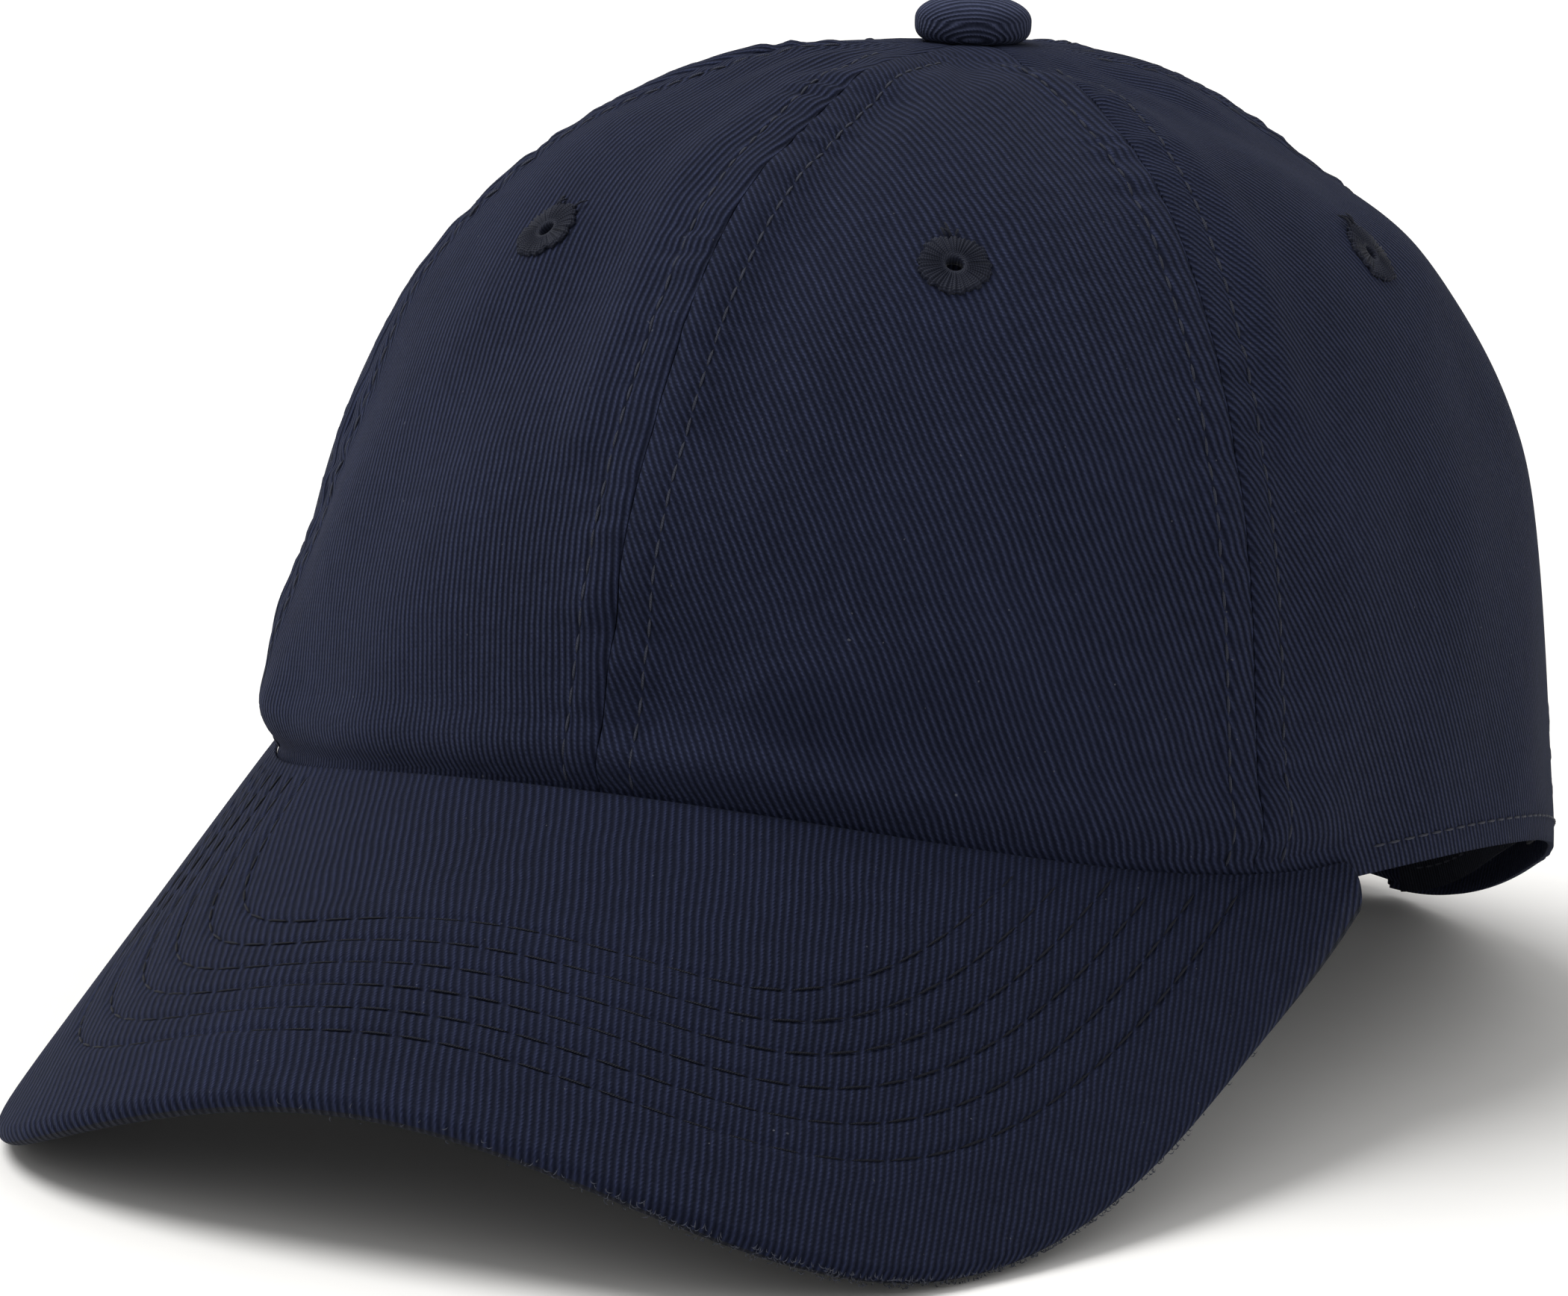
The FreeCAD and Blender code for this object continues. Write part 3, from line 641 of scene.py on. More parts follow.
class Graph:
    """A material's nodes, with its main shader and output."""

    def __init__(self, name: str) -> None:
        """Start a material with one shader.

        Args:
            name: the material's name.
        """
        self.material = bpy.data.materials.new(name)
        self.material.use_nodes = True
        self.tree = self.material.node_tree
        self.tree.nodes.clear()
        self.shader = self.node("ShaderNodeBsdfPrincipled")
        self.node("ShaderNodeOutputMaterial", {}, {"Surface": self.shader.outputs[0]})

    def node(self, kind: str, settings: dict | None = None, values: dict | None = None
             ) -> bpy.types.Node:
        """Add a node.

        Args:
            kind: the node's type.
            settings: its own settings, set first.
            values: numbers, colours, signals or sockets for its inputs, by name or place.

        Returns:
            The node.
        """
        made = self.tree.nodes.new(kind)
        for key, value in (settings or {}).items():
            setattr(made, key, value)
        for key, value in (values or {}).items():
            self.feed(made.inputs[key], value)
        return made

    def feed(self, entry: bpy.types.NodeSocket, value: object) -> None:
        """Link a signal or socket to an input, or set a plain value on it.

        Args:
            entry: the input.
            value: a signal, a socket, or a number or colour.
        """
        if isinstance(value, Signal):
            value = value.socket
        if isinstance(value, bpy.types.NodeSocket):
            self.tree.links.new(value, entry)
        else:
            entry.default_value = value

    def finish(self, **values: object) -> bpy.types.Material:
        """Feed the main shader's inputs, named with underscores, and return the material.

        Args:
            values: inputs and what they are fed.

        Returns:
            The material.
        """
        for key, value in values.items():
            self.feed(self.shader.inputs[key.replace("_", " ")], value)
        return self.material

    def cut(self) -> tuple[Signal, Signal]:
        """The cloth's own flat coordinates, in metres.

        Returns:
            Distances across and along the cut.
        """
        split = self.node("ShaderNodeSeparateXYZ", {}, {0: self.node(
            "ShaderNodeUVMap", {"uv_map": CUT}).outputs[0]})
        return Signal(self, split.outputs[0]), Signal(self, split.outputs[1])

    def place(self) -> bpy.types.NodeSocket:
        """Object coordinates, in metres."""
        return self.node("ShaderNodeTexCoord").outputs["Object"]

    def noise(self, scale: float, detail: float = 3.0, rough: float = 0.5,
              at: bpy.types.NodeSocket | None = None) -> Signal:
        """Noise from 0 to 1 with a number of waves to the metre, at object coordinates by default.

        Args:
            scale: waves to the metre.
            detail: finer layers.
            rough: strength of the finer layers.
            at: coordinates, if not the object's own.

        Returns:
            A signal from 0 to 1.
        """
        values = {"Vector": at or self.place(), "Scale": scale, "Detail": detail, "Roughness": rough}
        return Signal(self, self.node("ShaderNodeTexNoise", {}, values).outputs[0])

    def mix(self, share: Signal | float, low: object, high: object) -> bpy.types.NodeSocket:
        """A colour between two."""
        made = self.node("ShaderNodeMix", {"data_type": "RGBA"}, {0: share, 6: low, 7: high})
        return made.outputs[2]

    def bump(self, height: Signal, distance: float, strength: float = 1.0) -> bpy.types.NodeSocket:
        """A bumped normal."""
        values = {"Height": height, "Distance": distance, "Strength": strength}
        return self.node("ShaderNodeBump", {}, values).outputs[0]


@dataclass(frozen=True)
class Twill:
    """Twill cloth: slanting ribs of yarn in the cut's own coordinates, with fading and lint."""

    name: str
    dark: Color
    light: Color
    lean: float = 25.0
    pitch: float = 0.94 * MM
    relief: float = 0.42 * MM
    sheen: float = 0.035
    lint: float = 1.0

    def material(self) -> bpy.types.Material:
        """Ribs are a sine across the lean, roped by a finer sine along it.

        Returns:
            The material.
        """
        graph = Graph(self.name)
        u, v = graph.cut()
        lean = math.radians(self.lean)
        drift = graph.noise(90.0, 2.0) * (0.9 * MM)
        across = u * math.cos(lean) + v * math.sin(lean) + drift
        along = v * math.cos(lean) - u * math.sin(lean)
        rib = ((across * (2 * math.pi / self.pitch)).sine() * 0.5 + 0.5) ** 1.25
        rope = ((along * 2.0 + across * 1.6) * (math.pi / (0.62 * MM))).sine() * 0.5 + 0.5
        worn = graph.noise(34.0, 4.0, 0.6)
        patch = graph.noise(420.0, 3.0, 0.65)
        strength = patch.step_up(0.25, 0.75) * 0.5 + 0.5
        face = rib * strength * (rope * 0.28 + 0.72)
        fuzz = graph.noise(2600.0, 2.0, 0.7)
        tone = face * 0.86 + worn * 0.24 + fuzz * 0.24 - 0.14
        cloth = graph.mix(tone, self.dark, self.light)
        fleck = graph.noise(1500.0, 1.0, 0.4).step_up(0.80, 0.83) * (0.4 * self.lint)
        fibre = graph.mix(fleck, cloth, shade(0.16, 0.165, 0.19))
        height = face + fuzz * 0.35 + patch * 0.25
        return graph.finish(Base_Color=fibre, Roughness=rib * -0.08 + 0.93,
                            Normal=graph.bump(height, self.relief), Sheen_Weight=self.sheen,
                            Sheen_Roughness=0.45, Sheen_Tint=shade(0.45, 0.55, 0.92),
                            Specular_IOR_Level=0.10)


@dataclass(frozen=True)
class PlainWeave:
    """Plain woven tape or lining: threads over and under at a fine pitch."""

    name: str
    dark: Color
    light: Color
    pitch: float = 0.55 * MM
    relief: float = 0.10 * MM

    def material(self) -> bpy.types.Material:
        """A product of sines both ways, softened by noise.

        Returns:
            The material.
        """
        graph = Graph(self.name)
        u, v = graph.cut()
        warp = (u * (2 * math.pi / self.pitch)).sine()
        weft = (v * (2 * math.pi / self.pitch)).sine()
        weave = warp * weft * 0.5 + 0.5
        worn = graph.noise(60.0, 4.0, 0.6)
        fuzz = graph.noise(2400.0, 2.0, 0.7)
        tone = weave * 0.45 + worn * 0.35 + fuzz * 0.2
        return graph.finish(Base_Color=graph.mix(tone, self.dark, self.light),
                            Roughness=worn * 0.1 + 0.82,
                            Normal=graph.bump(weave + fuzz * 0.4, self.relief),
                            Sheen_Weight=0.12, Sheen_Roughness=0.5, Specular_IOR_Level=0.25)


@dataclass(frozen=True)
class Thread:
    """Sewing or embroidery thread: a fine twist along each stitch."""

    name: str
    dark: Color
    light: Color
    twist: float = 0.32 * MM
    rough: float = 0.62

    def material(self) -> bpy.types.Material:
        """Slanting sines along and round the thread.

        Returns:
            The material.
        """
        graph = Graph(self.name)
        u, v = graph.cut()
        twist = ((u + v) * (2 * math.pi / self.twist)).sine() * 0.5 + 0.5
        worn = graph.noise(300.0, 3.0, 0.6)
        tone = twist * 0.5 + worn * 0.5
        return graph.finish(Base_Color=graph.mix(tone, self.dark, self.light),
                            Roughness=twist * -0.1 + self.rough,
                            Normal=graph.bump(twist, 0.05 * MM), Sheen_Weight=0.03,
                            Sheen_Roughness=0.4, Specular_IOR_Level=0.14)


@dataclass(frozen=True)
class Metal:
    """Plated or bare metal with brushed scratches and patchy tarnish."""

    name: str
    dark: Color
    light: Color
    rough: float = 0.34

    def material(self) -> bpy.types.Material:
        """Tarnish from broad noise and scratches from stretched noise.

        Returns:
            The material.
        """
        graph = Graph(self.name)
        place = graph.place()
        stretched = graph.node("ShaderNodeMapping", {}, {0: place, "Scale": (1.0, 1.0, 9.0)})
        scratch = graph.noise(1500.0, 3.0, 0.6, stretched.outputs[0])
        tarnish = graph.noise(210.0, 5.0, 0.65)
        tone = tarnish.step_up(0.32, 0.68) * 0.8 + scratch * 0.2
        return graph.finish(Base_Color=graph.mix(tone, self.dark, self.light), Metallic=1.0,
                            Roughness=tarnish * -0.2 + scratch * 0.15 + self.rough,
                            Normal=graph.bump(scratch, 0.015 * MM))


@dataclass(frozen=True)
class Moulded:
    """Moulded plastic board with a fine grain."""

    name: str
    dark: Color
    light: Color

    def material(self) -> bpy.types.Material:
        """Grain from two noises.

        Returns:
            The material.
        """
        graph = Graph(self.name)
        grain = graph.noise(1400.0, 4.0, 0.6)
        broad = graph.noise(70.0, 3.0, 0.5)
        tone = grain * 0.4 + broad * 0.6
        return graph.finish(Base_Color=graph.mix(tone, self.dark, self.light),
                            Roughness=grain * 0.2 + 0.45, Normal=graph.bump(grain, 0.04 * MM))


NAVY_DARK = shade(0.0014, 0.0022, 0.0068)
NAVY_LIGHT = shade(0.0340, 0.0425, 0.0930)
MATERIALS: dict[str, bpy.types.Material] = {}


class Finish(Enum):
    """The cap's finishes, each with the record's slot that it belongs to."""

    CROWN_LEFT = ("crown_twill", Twill("crown_twill_left", NAVY_DARK, NAVY_LIGHT))
    CROWN_RIGHT = ("crown_twill", Twill("crown_twill_right", NAVY_DARK, NAVY_LIGHT, lean=14.0))
    BRIM = ("brim_twill", Twill("brim_cover_twill", NAVY_DARK, shade(0.0225, 0.0290, 0.0700), lean=-22.5,
                                pitch=1.0 * MM))
    UNDER_BRIM = ("brim_twill", Twill("under_brim_twill", shade(0.006, 0.0065, 0.009),
                                      shade(0.022, 0.023, 0.03), lean=-22.5, pitch=1.0 * MM))
    # The button's cover is the crown's navy painted lighter: painted light, standing in for the light on
    # the button's lit front.
    BUTTON_PAINTED_LIGHT = ("button_twill", Twill("button_cover_twill_painted_light", shade(0.006, 0.008, 0.018),
                                    shade(0.090, 0.105, 0.190), lean=0.0, lint=0.4))
    STRAP = ("strap_twill", Twill("strap_cloth_twill", NAVY_DARK, NAVY_LIGHT))
    SWEATBAND = ("sweatband_twill", Twill("sweatband_cloth_twill", shade(0.006, 0.007, 0.011),
                                          shade(0.026, 0.029, 0.042), pitch=0.8 * MM))
    TAPE = ("lining_tape", PlainWeave("tape_weave", shade(0.007, 0.008, 0.013),
                                      shade(0.034, 0.037, 0.052)))
    EYELET = ("eyelet_thread", Thread("eyelet_worked_thread", shade(0.003, 0.004, 0.009),
                                      shade(0.022, 0.026, 0.046)))
    SEAM_THREAD = ("crown_twill", Thread("seam_thread", shade(0.012, 0.014, 0.026),
                                         shade(0.075, 0.082, 0.115)))
    SUNK_THREAD = ("brim_twill", Thread("sunk_thread", shade(0.001, 0.0015, 0.004),
                                        shade(0.007, 0.009, 0.020)))
    EDGE_FIBRE = ("brim_twill", Thread("edge_fibre", shade(0.030, 0.034, 0.050),
                                       shade(0.090, 0.098, 0.130)))
    LABEL = ("label_cloth", PlainWeave("label_weave", shade(0.42, 0.42, 0.40),
                                       shade(0.66, 0.66, 0.63), pitch=0.4 * MM))
    BOARD = ("brim_board", Moulded("brim_board_plastic", shade(0.05, 0.05, 0.05),
                                   shade(0.09, 0.09, 0.09)))
    STEEL = ("button_metal", Metal("button_steel", shade(0.28, 0.28, 0.29), shade(0.55, 0.55, 0.56)))
    BRASS = ("antique_brass", Metal("buckle_brass", shade(0.10, 0.062, 0.026),
                                    shade(0.46, 0.32, 0.15)))

    def material(self) -> bpy.types.Material:
        """The finish's one material, made when first asked for.

        Returns:
            The material.
        """
        recipe = self.value[1]
        if recipe.name not in MATERIALS:
            MATERIALS[recipe.name] = recipe.material()
        return MATERIALS[recipe.name]


# Meshes ------------------------------------------------------------------------------------------
def lattice(columns: int, rows: int, wrap_columns: bool = False, wrap_rows: bool = False) -> Array:
    """Four-sided faces over a grid of points kept column by column.

    Args:
        columns: points one way.
        rows: points the other way.
        wrap_columns: join the last column to the first.
        wrap_rows: join the last row to the first.

    Returns:
        Corner numbers, four to a face.
    """
    i = np.arange(columns if wrap_columns else columns - 1)[:, None]
    j = np.arange(rows if wrap_rows else rows - 1)[None, :]
    right, above = (i + 1) % columns, (j + 1) % rows
    corners = [i * rows + j, right * rows + j, right * rows + above, i * rows + above]
    return np.stack(np.broadcast_arrays(*corners), axis=-1).reshape(-1, 4)


@dataclass
class Piece:
    """One visible piece before it becomes an object: points, faces and flat coordinates."""

    name: str
    points: Array
    faces: Array
    cut: Array
    extra_faces: list[list[int]] = field(default_factory=list)

    def kept(self, keep: Array) -> "Piece":
        """The piece with only some faces and the points that they use.

        Args:
            keep: which faces stay.

        Returns:
            The smaller piece.
        """
        faces = self.faces[keep]
        used, inverse = np.unique(faces, return_inverse=True)
        return Piece(self.name, self.points[used], inverse.reshape(faces.shape), self.cut[used])

    def make(self, finish: Finish, body: Body, stands_for: Sequence[str] = (),
             thickness: float = 0.0) -> bpy.types.Object:
        """Build the object, finish it and put it on its body.

        Args:
            finish: its finish.
            body: the body that it rides on.
            stands_for: CAD nodes that it replaces.
            thickness: cloth thickness added on the inner side, if any.

        Returns:
            The object.
        """
        mesh = bpy.data.meshes.new(self.name)
        mesh.from_pydata(self.points.tolist(), [], self.faces.tolist() + self.extra_faces)
        corners = np.empty(len(mesh.loops), np.int32)
        mesh.loops.foreach_get("vertex_index", corners)
        layer = mesh.uv_layers.new(name=CUT)
        layer.data.foreach_set("uv", self.cut[corners].astype(np.float32).ravel())
        mesh.polygons.foreach_set("use_smooth", np.ones(len(mesh.polygons), bool))
        mesh.materials.append(finish.material())
        mesh.validate()
        mesh.update()
        made = bpy.data.objects.new(self.name, mesh)
        bpy.context.scene.collection.objects.link(made)
        if thickness:
            wall = made.modifiers.new("cloth_thickness", "SOLIDIFY")
            wall.thickness = thickness
            wall.offset = -1.0
        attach(made, body.value)
        if stands_for:
            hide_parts(*stands_for)
        LOG.info("%s: %d points", self.name, len(mesh.vertices))
        return made


def grid_piece(name: str, points: Array, cut: Array, wrap_columns: bool = False,
               wrap_rows: bool = False, capped: bool = False) -> Piece:
    """A piece from a grid of points, wrapped either way, with its open column ends capped if asked.

    Args:
        name: the piece's name.
        points: columns x rows x 3.
        cut: columns x rows x 2, in metres.
        wrap_columns: join the last column to the first.
        wrap_rows: join the last row to the first.
        capped: close the first and last columns.

    Returns:
        The piece.
    """
    columns, rows = points.shape[:2]
    faces = lattice(columns, rows, wrap_columns, wrap_rows)
    piece = Piece(name, points.reshape(-1, 3), faces, cut.reshape(-1, 2))
    if capped:
        first = list(range(rows))
        last = [(columns - 1) * rows + j for j in range(rows)]
        piece.extra_faces = [first, last[::-1]]
    return piece


def joined(name: str, pieces: Sequence[Piece]) -> Piece:
    """Several pieces as one mesh.

    Args:
        name: the piece's name.
        pieces: what it is made of.

    Returns:
        The piece.
    """
    starts = np.cumsum([0] + [len(piece.points) for piece in pieces])
    faces = np.concatenate([piece.faces + start for piece, start in zip(pieces, starts)])
    extra = [[place + int(start) for place in face]
             for piece, start in zip(pieces, starts) for face in piece.extra_faces]
    return Piece(name, np.concatenate([piece.points for piece in pieces]), faces,
                 np.concatenate([piece.cut for piece in pieces]), extra)


def tape_section(count: int) -> tuple[Array, Array, Array]:
    """A flat tape's section, whose half thickness share is 0.1 + 0.9 sqrt(1 - place^12).

    Args:
        count: points on each side.

    Returns:
        Places across from -1 to 1 and back, 1 or -1 for the side, and the half thickness share.
    """
    t = np.linspace(-1, 1, count)
    place = np.concatenate([t, t[::-1]])[None, :]
    side = np.concatenate([np.ones(count), -np.ones(count)])[None, :]
    return place, side, (1 - np.abs(place) ** 12) ** 0.5 * 0.9 + 0.1


def dress(node: str, finish: Finish) -> None:
    """Give a CAD node its finish.

    Args:
        node: the node's name.
        finish: its finish.
    """
    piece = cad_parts[node]
    if not piece.material_slots:
        piece.data.materials.append(finish.material())
    for slot in piece.material_slots:
        slot.material = finish.material()
    LOG.info("%s: %s", node, finish.name.lower())


@dataclass(frozen=True)
class Stitching:
    """Rows of stitches: each a slim rounded rod between two points, bowed off the cloth."""

    length: float
    gap: float
    radius: float
    bow: float
    sides: int = 6
    rings: int = 5

    def rods(self, name: str, starts: Array, ends: Array, normals: Array) -> Piece:
        """All the stitches at once.

        A point is start + share (end - start) + bow (1 - s^2) normal + radius sqrt(1 - s^4) times
        the direction round the rod, where s runs from -1 to 1.

        Args:
            name: the piece's name.
            starts: first ends.
            ends: second ends.
            normals: outward directions.

        Returns:
            The piece.
        """
        way = unit(ends - starts)
        side = unit(np.cross(way, normals))
        up = np.cross(side, way)
        s = np.linspace(-0.985, 0.985, self.rings)
        turn = np.arange(self.sides) * 2 * np.pi / self.sides
        thick = self.radius * np.sqrt(1 - s**4)
        middle = (starts[:, None] + (ends - starts)[:, None] * ((s + 1) / 2)[None, :, None]
                  + up[:, None] * (self.bow * (1 - s**2))[None, :, None])
        spoke = (up[:, None] * np.cos(turn)[None, :, None]
                 + side[:, None] * np.sin(turn)[None, :, None])
        points = middle[:, :, None] + spoke[:, None] * thick[None, :, None, None]
        count = len(starts)
        each = self.rings * self.sides
        one = lattice(self.rings, self.sides, wrap_rows=True)
        faces = (one[None] + (np.arange(count) * each)[:, None, None]).reshape(-1, 4)
        along = (s[None, :, None] * self.length / 2 + np.zeros((count, 1, self.sides)))
        round_way = np.broadcast_to((turn * self.radius)[None, None, :], along.shape)
        cut = np.stack([along, round_way], axis=-1).reshape(-1, 2)
        cap = list(range(self.sides))
        last = [each - self.sides + j for j in range(self.sides)]
        extra = []
        for number in range(count):
            base = number * each
            extra.append([base + j for j in cap])
            extra.append([base + j for j in last[::-1]])
        return Piece(name, points.reshape(-1, 3), faces, cut, extra)

    def row(self, name: str, line: Array, normals: Array) -> Piece:
        """Stitches at an even pitch along a line of points.

        Args:
            name: the piece's name.
            line: points along the row.
            normals: outward directions there.

        Returns:
            The piece.
        """
        length = arc_lengths(line)
        pitch = self.length + self.gap
        first = np.arange(self.gap / 2, length[-1] - self.length, pitch)

        def at(where: Array, values: Array) -> Array:
            """Values part way along the line."""
            return np.stack([np.interp(where, length, values[:, k]) for k in range(3)], axis=-1)

        middle = unit(at(first + self.length / 2, normals))
        return self.rods(name, at(first, line), at(first + self.length, line), middle)


# Crown -------------------------------------------------------------------------------------------
@dataclass
class Crown:
    """Six twill panels opened at their eyelet holes, their double rows of seam stitching, and the row
    above the lower edge.
    """

    cloth: CrownCloth
    columns: int = 112
    rows: int = 168
    crowding: float = 0.125
    thickness: float = 0.8 * MM
    seam_gap: float = 0.16 * MM
    opening_half_width: float = 38.0 * MM
    opening_straight: float = 10.0 * MM
    eyelet_hole: float = 2.15 * MM
    front_cut: tuple[float, float] = (0.094, 0.158)
    side_cut: tuple[float, float] = (0.102, 0.178)
    back_cut: tuple[float, float] = (0.098, 0.186)
    front_area: float = 0.0089
    side_area: float = 0.0108
    back_area: float = 0.0098
    row_low: float = 3.05 * MM
    back_row_low: float = 56.12 * MM
    row_top: float = 13.0 * MM
    outside_sink: float = -0.02 * MM
    inside_sink: float = 1.55 * MM
    edge_row_height: float = 3.4 * MM
    edge_row_sink: float = -0.03 * MM
    edge_row_end: float = 150.0
    stitches: Stitching = Stitching(2.5 * MM, 0.75 * MM, 0.17 * MM, 0.10 * MM)

    def opening_gap(self, x: Array, z: Array) -> Array:
        """Distance outside the back opening: straight sides below, a half circle above."""
        above = np.hypot(x, np.maximum(z - self.opening_straight, 0.0))
        return above - self.opening_half_width

    def panel(self, name: str, start: float, end: float) -> Piece:
        """One panel: a grid between its seams, opened at its eyelet and, behind, at the opening.

        Points inside a hole but beside its edge are moved out on to the edge.

        Args:
            name: the piece's name.
            start: angle round of its first seam.
            end: angle round of its second.

        Returns:
            The piece.
        """
        form = self.cloth.form
        even = np.linspace(0, 1, self.columns)
        across = (even - self.crowding * np.sin(2 * np.pi * even))[:, None]
        up = self.cloth.up_of_length(np.linspace(0, self.cloth.table[1][-1], self.rows))[None, :]
        middle = (start + end) / 2
        centre_line = form.outside(middle, up)
        radius = np.hypot(centre_line[..., 0], centre_line[..., 1] - form.axis_y)
        edge = np.degrees(self.seam_gap / 2 / radius)
        around = start + edge + (end - start - 2 * edge) * across
        up = np.broadcast_to(up, around.shape).copy()
        points = self.cloth.point(around, up)
        inside = np.zeros(around.shape, bool)
        if "back" in name:
            x, z = points[..., 0], points[..., 2]
            inside = (self.opening_gap(x, z) < 0) & (points[..., 1] > form.axis_y)
            raised = np.maximum(z - self.opening_straight, 0.0)
            scale = self.opening_half_width / np.maximum(np.hypot(x, raised), 1e-6)
            edge_z = np.where(z > self.opening_straight, self.opening_straight + raised * scale, z)
            edge_around, edge_up = form.behind(x * scale, edge_z)
            around = np.where(inside, edge_around - (360 if start < 0 else 0), around)
            up = np.where(inside, edge_up, up)
            points = np.where(inside[..., None], self.cloth.point(around, up), points)
        centre = self.cloth.point(np.array([middle]), np.array([self.cloth.eyelet_up]))[0]
        way = points - centre
        reach = np.linalg.norm(way, axis=-1, keepdims=True)
        in_hole = reach[..., 0] < self.eyelet_hole
        points = np.where(in_hole[..., None], centre + way * self.eyelet_hole / reach, points)
        inside |= in_hole
        degree = form.degree(np.broadcast_to(middle, around.shape), up)
        length = np.interp(up, *self.cloth.table)
        cut = np.stack([(around - middle) * degree, length], axis=-1)
        piece = grid_piece(name, points, cut)
        return piece.kept(~inside.ravel()[piece.faces].all(axis=1))

    def build_panels(self) -> None:
        """The six panels."""
        form = self.cloth.form
        plan = (("front", 0.0, form.front_seam, self.front_cut, self.front_area),
                ("side", form.front_seam, form.back_seam, self.side_cut, self.side_area),
                ("back", form.back_seam, 180.0, self.back_cut, self.back_area))
        for part, start, end, flat, area in plan:
            for side, sense in (("left", 1), ("right", -1)):
                first, last = sorted((sense * start, sense * end))
                finish = Finish.CROWN_LEFT if sense > 0 else Finish.CROWN_RIGHT
                piece = self.panel(f"{part}_panel_{side}_cloth", first, last)
                made = piece.make(finish, Body.CAP, [f"{part}_panel_{side}"], self.thickness)

    def stitch_line(self, around: Array, up: Array, sink: float, inner: bool = False
                    ) -> tuple[Array, Array]:
        """A row's points just below or above the lying cloth, or inside the tape, with normals.

        Args:
            around: angles round the crown.
            up: angles up the meridians.
            sink: depth under the outer face.
            inner: whether the row shows inside.

        Returns:
            Points and outward directions.
        """
        normals = self.cloth.form.normal(around, up)
        return self.cloth.point(around, up, -sink), -normals if inner else normals

    def build_seam_stitches(self) -> None:
        """A row either side of every seam, outside on the cloth and inside on the tape."""
        form = self.cloth.form
        for inner, name in ((False, "seam_stitches_outside"), (True, "seam_stitches_inside")):
            rows = []
            for seam in form.seams:
                low = self.back_row_low if seam == 180.0 else self.row_low
                low_length = np.interp(form.up_at(np.float64(seam), low), *self.cloth.table)
                length = np.linspace(low_length, self.cloth.table[1][-1] - self.row_top, 260)
                up = self.cloth.up_of_length(length)
                for sense in (-1, 1):
                    turn = sense * self.cloth.row_offset / form.degree(np.full(up.shape, seam), up)
                    sink = self.inside_sink if inner else self.outside_sink
                    line, normals = self.stitch_line(seam + turn, up, sink, inner)
                    rows.append(self.stitches.row(name, line, normals))
            joined(name, rows).make(Finish.SEAM_THREAD, Body.CAP)

    def build_edge_stitches(self) -> None:
        """The row that holds the sweatband, above the lower edge behind the brim."""
        form = self.cloth.form
        rows = []
        for sense in (-1, 1):
            around = sense * np.linspace(form.brim.temple + 3, self.edge_row_end, 400)
            up = form.up_at(around, np.full(around.shape, self.edge_row_height))
            line, normals = self.stitch_line(around, up, self.edge_row_sink)
            rows.append(self.stitches.row("edge_stitches", line, normals))
        joined("edge_stitches", rows).make(Finish.SEAM_THREAD, Body.CAP)


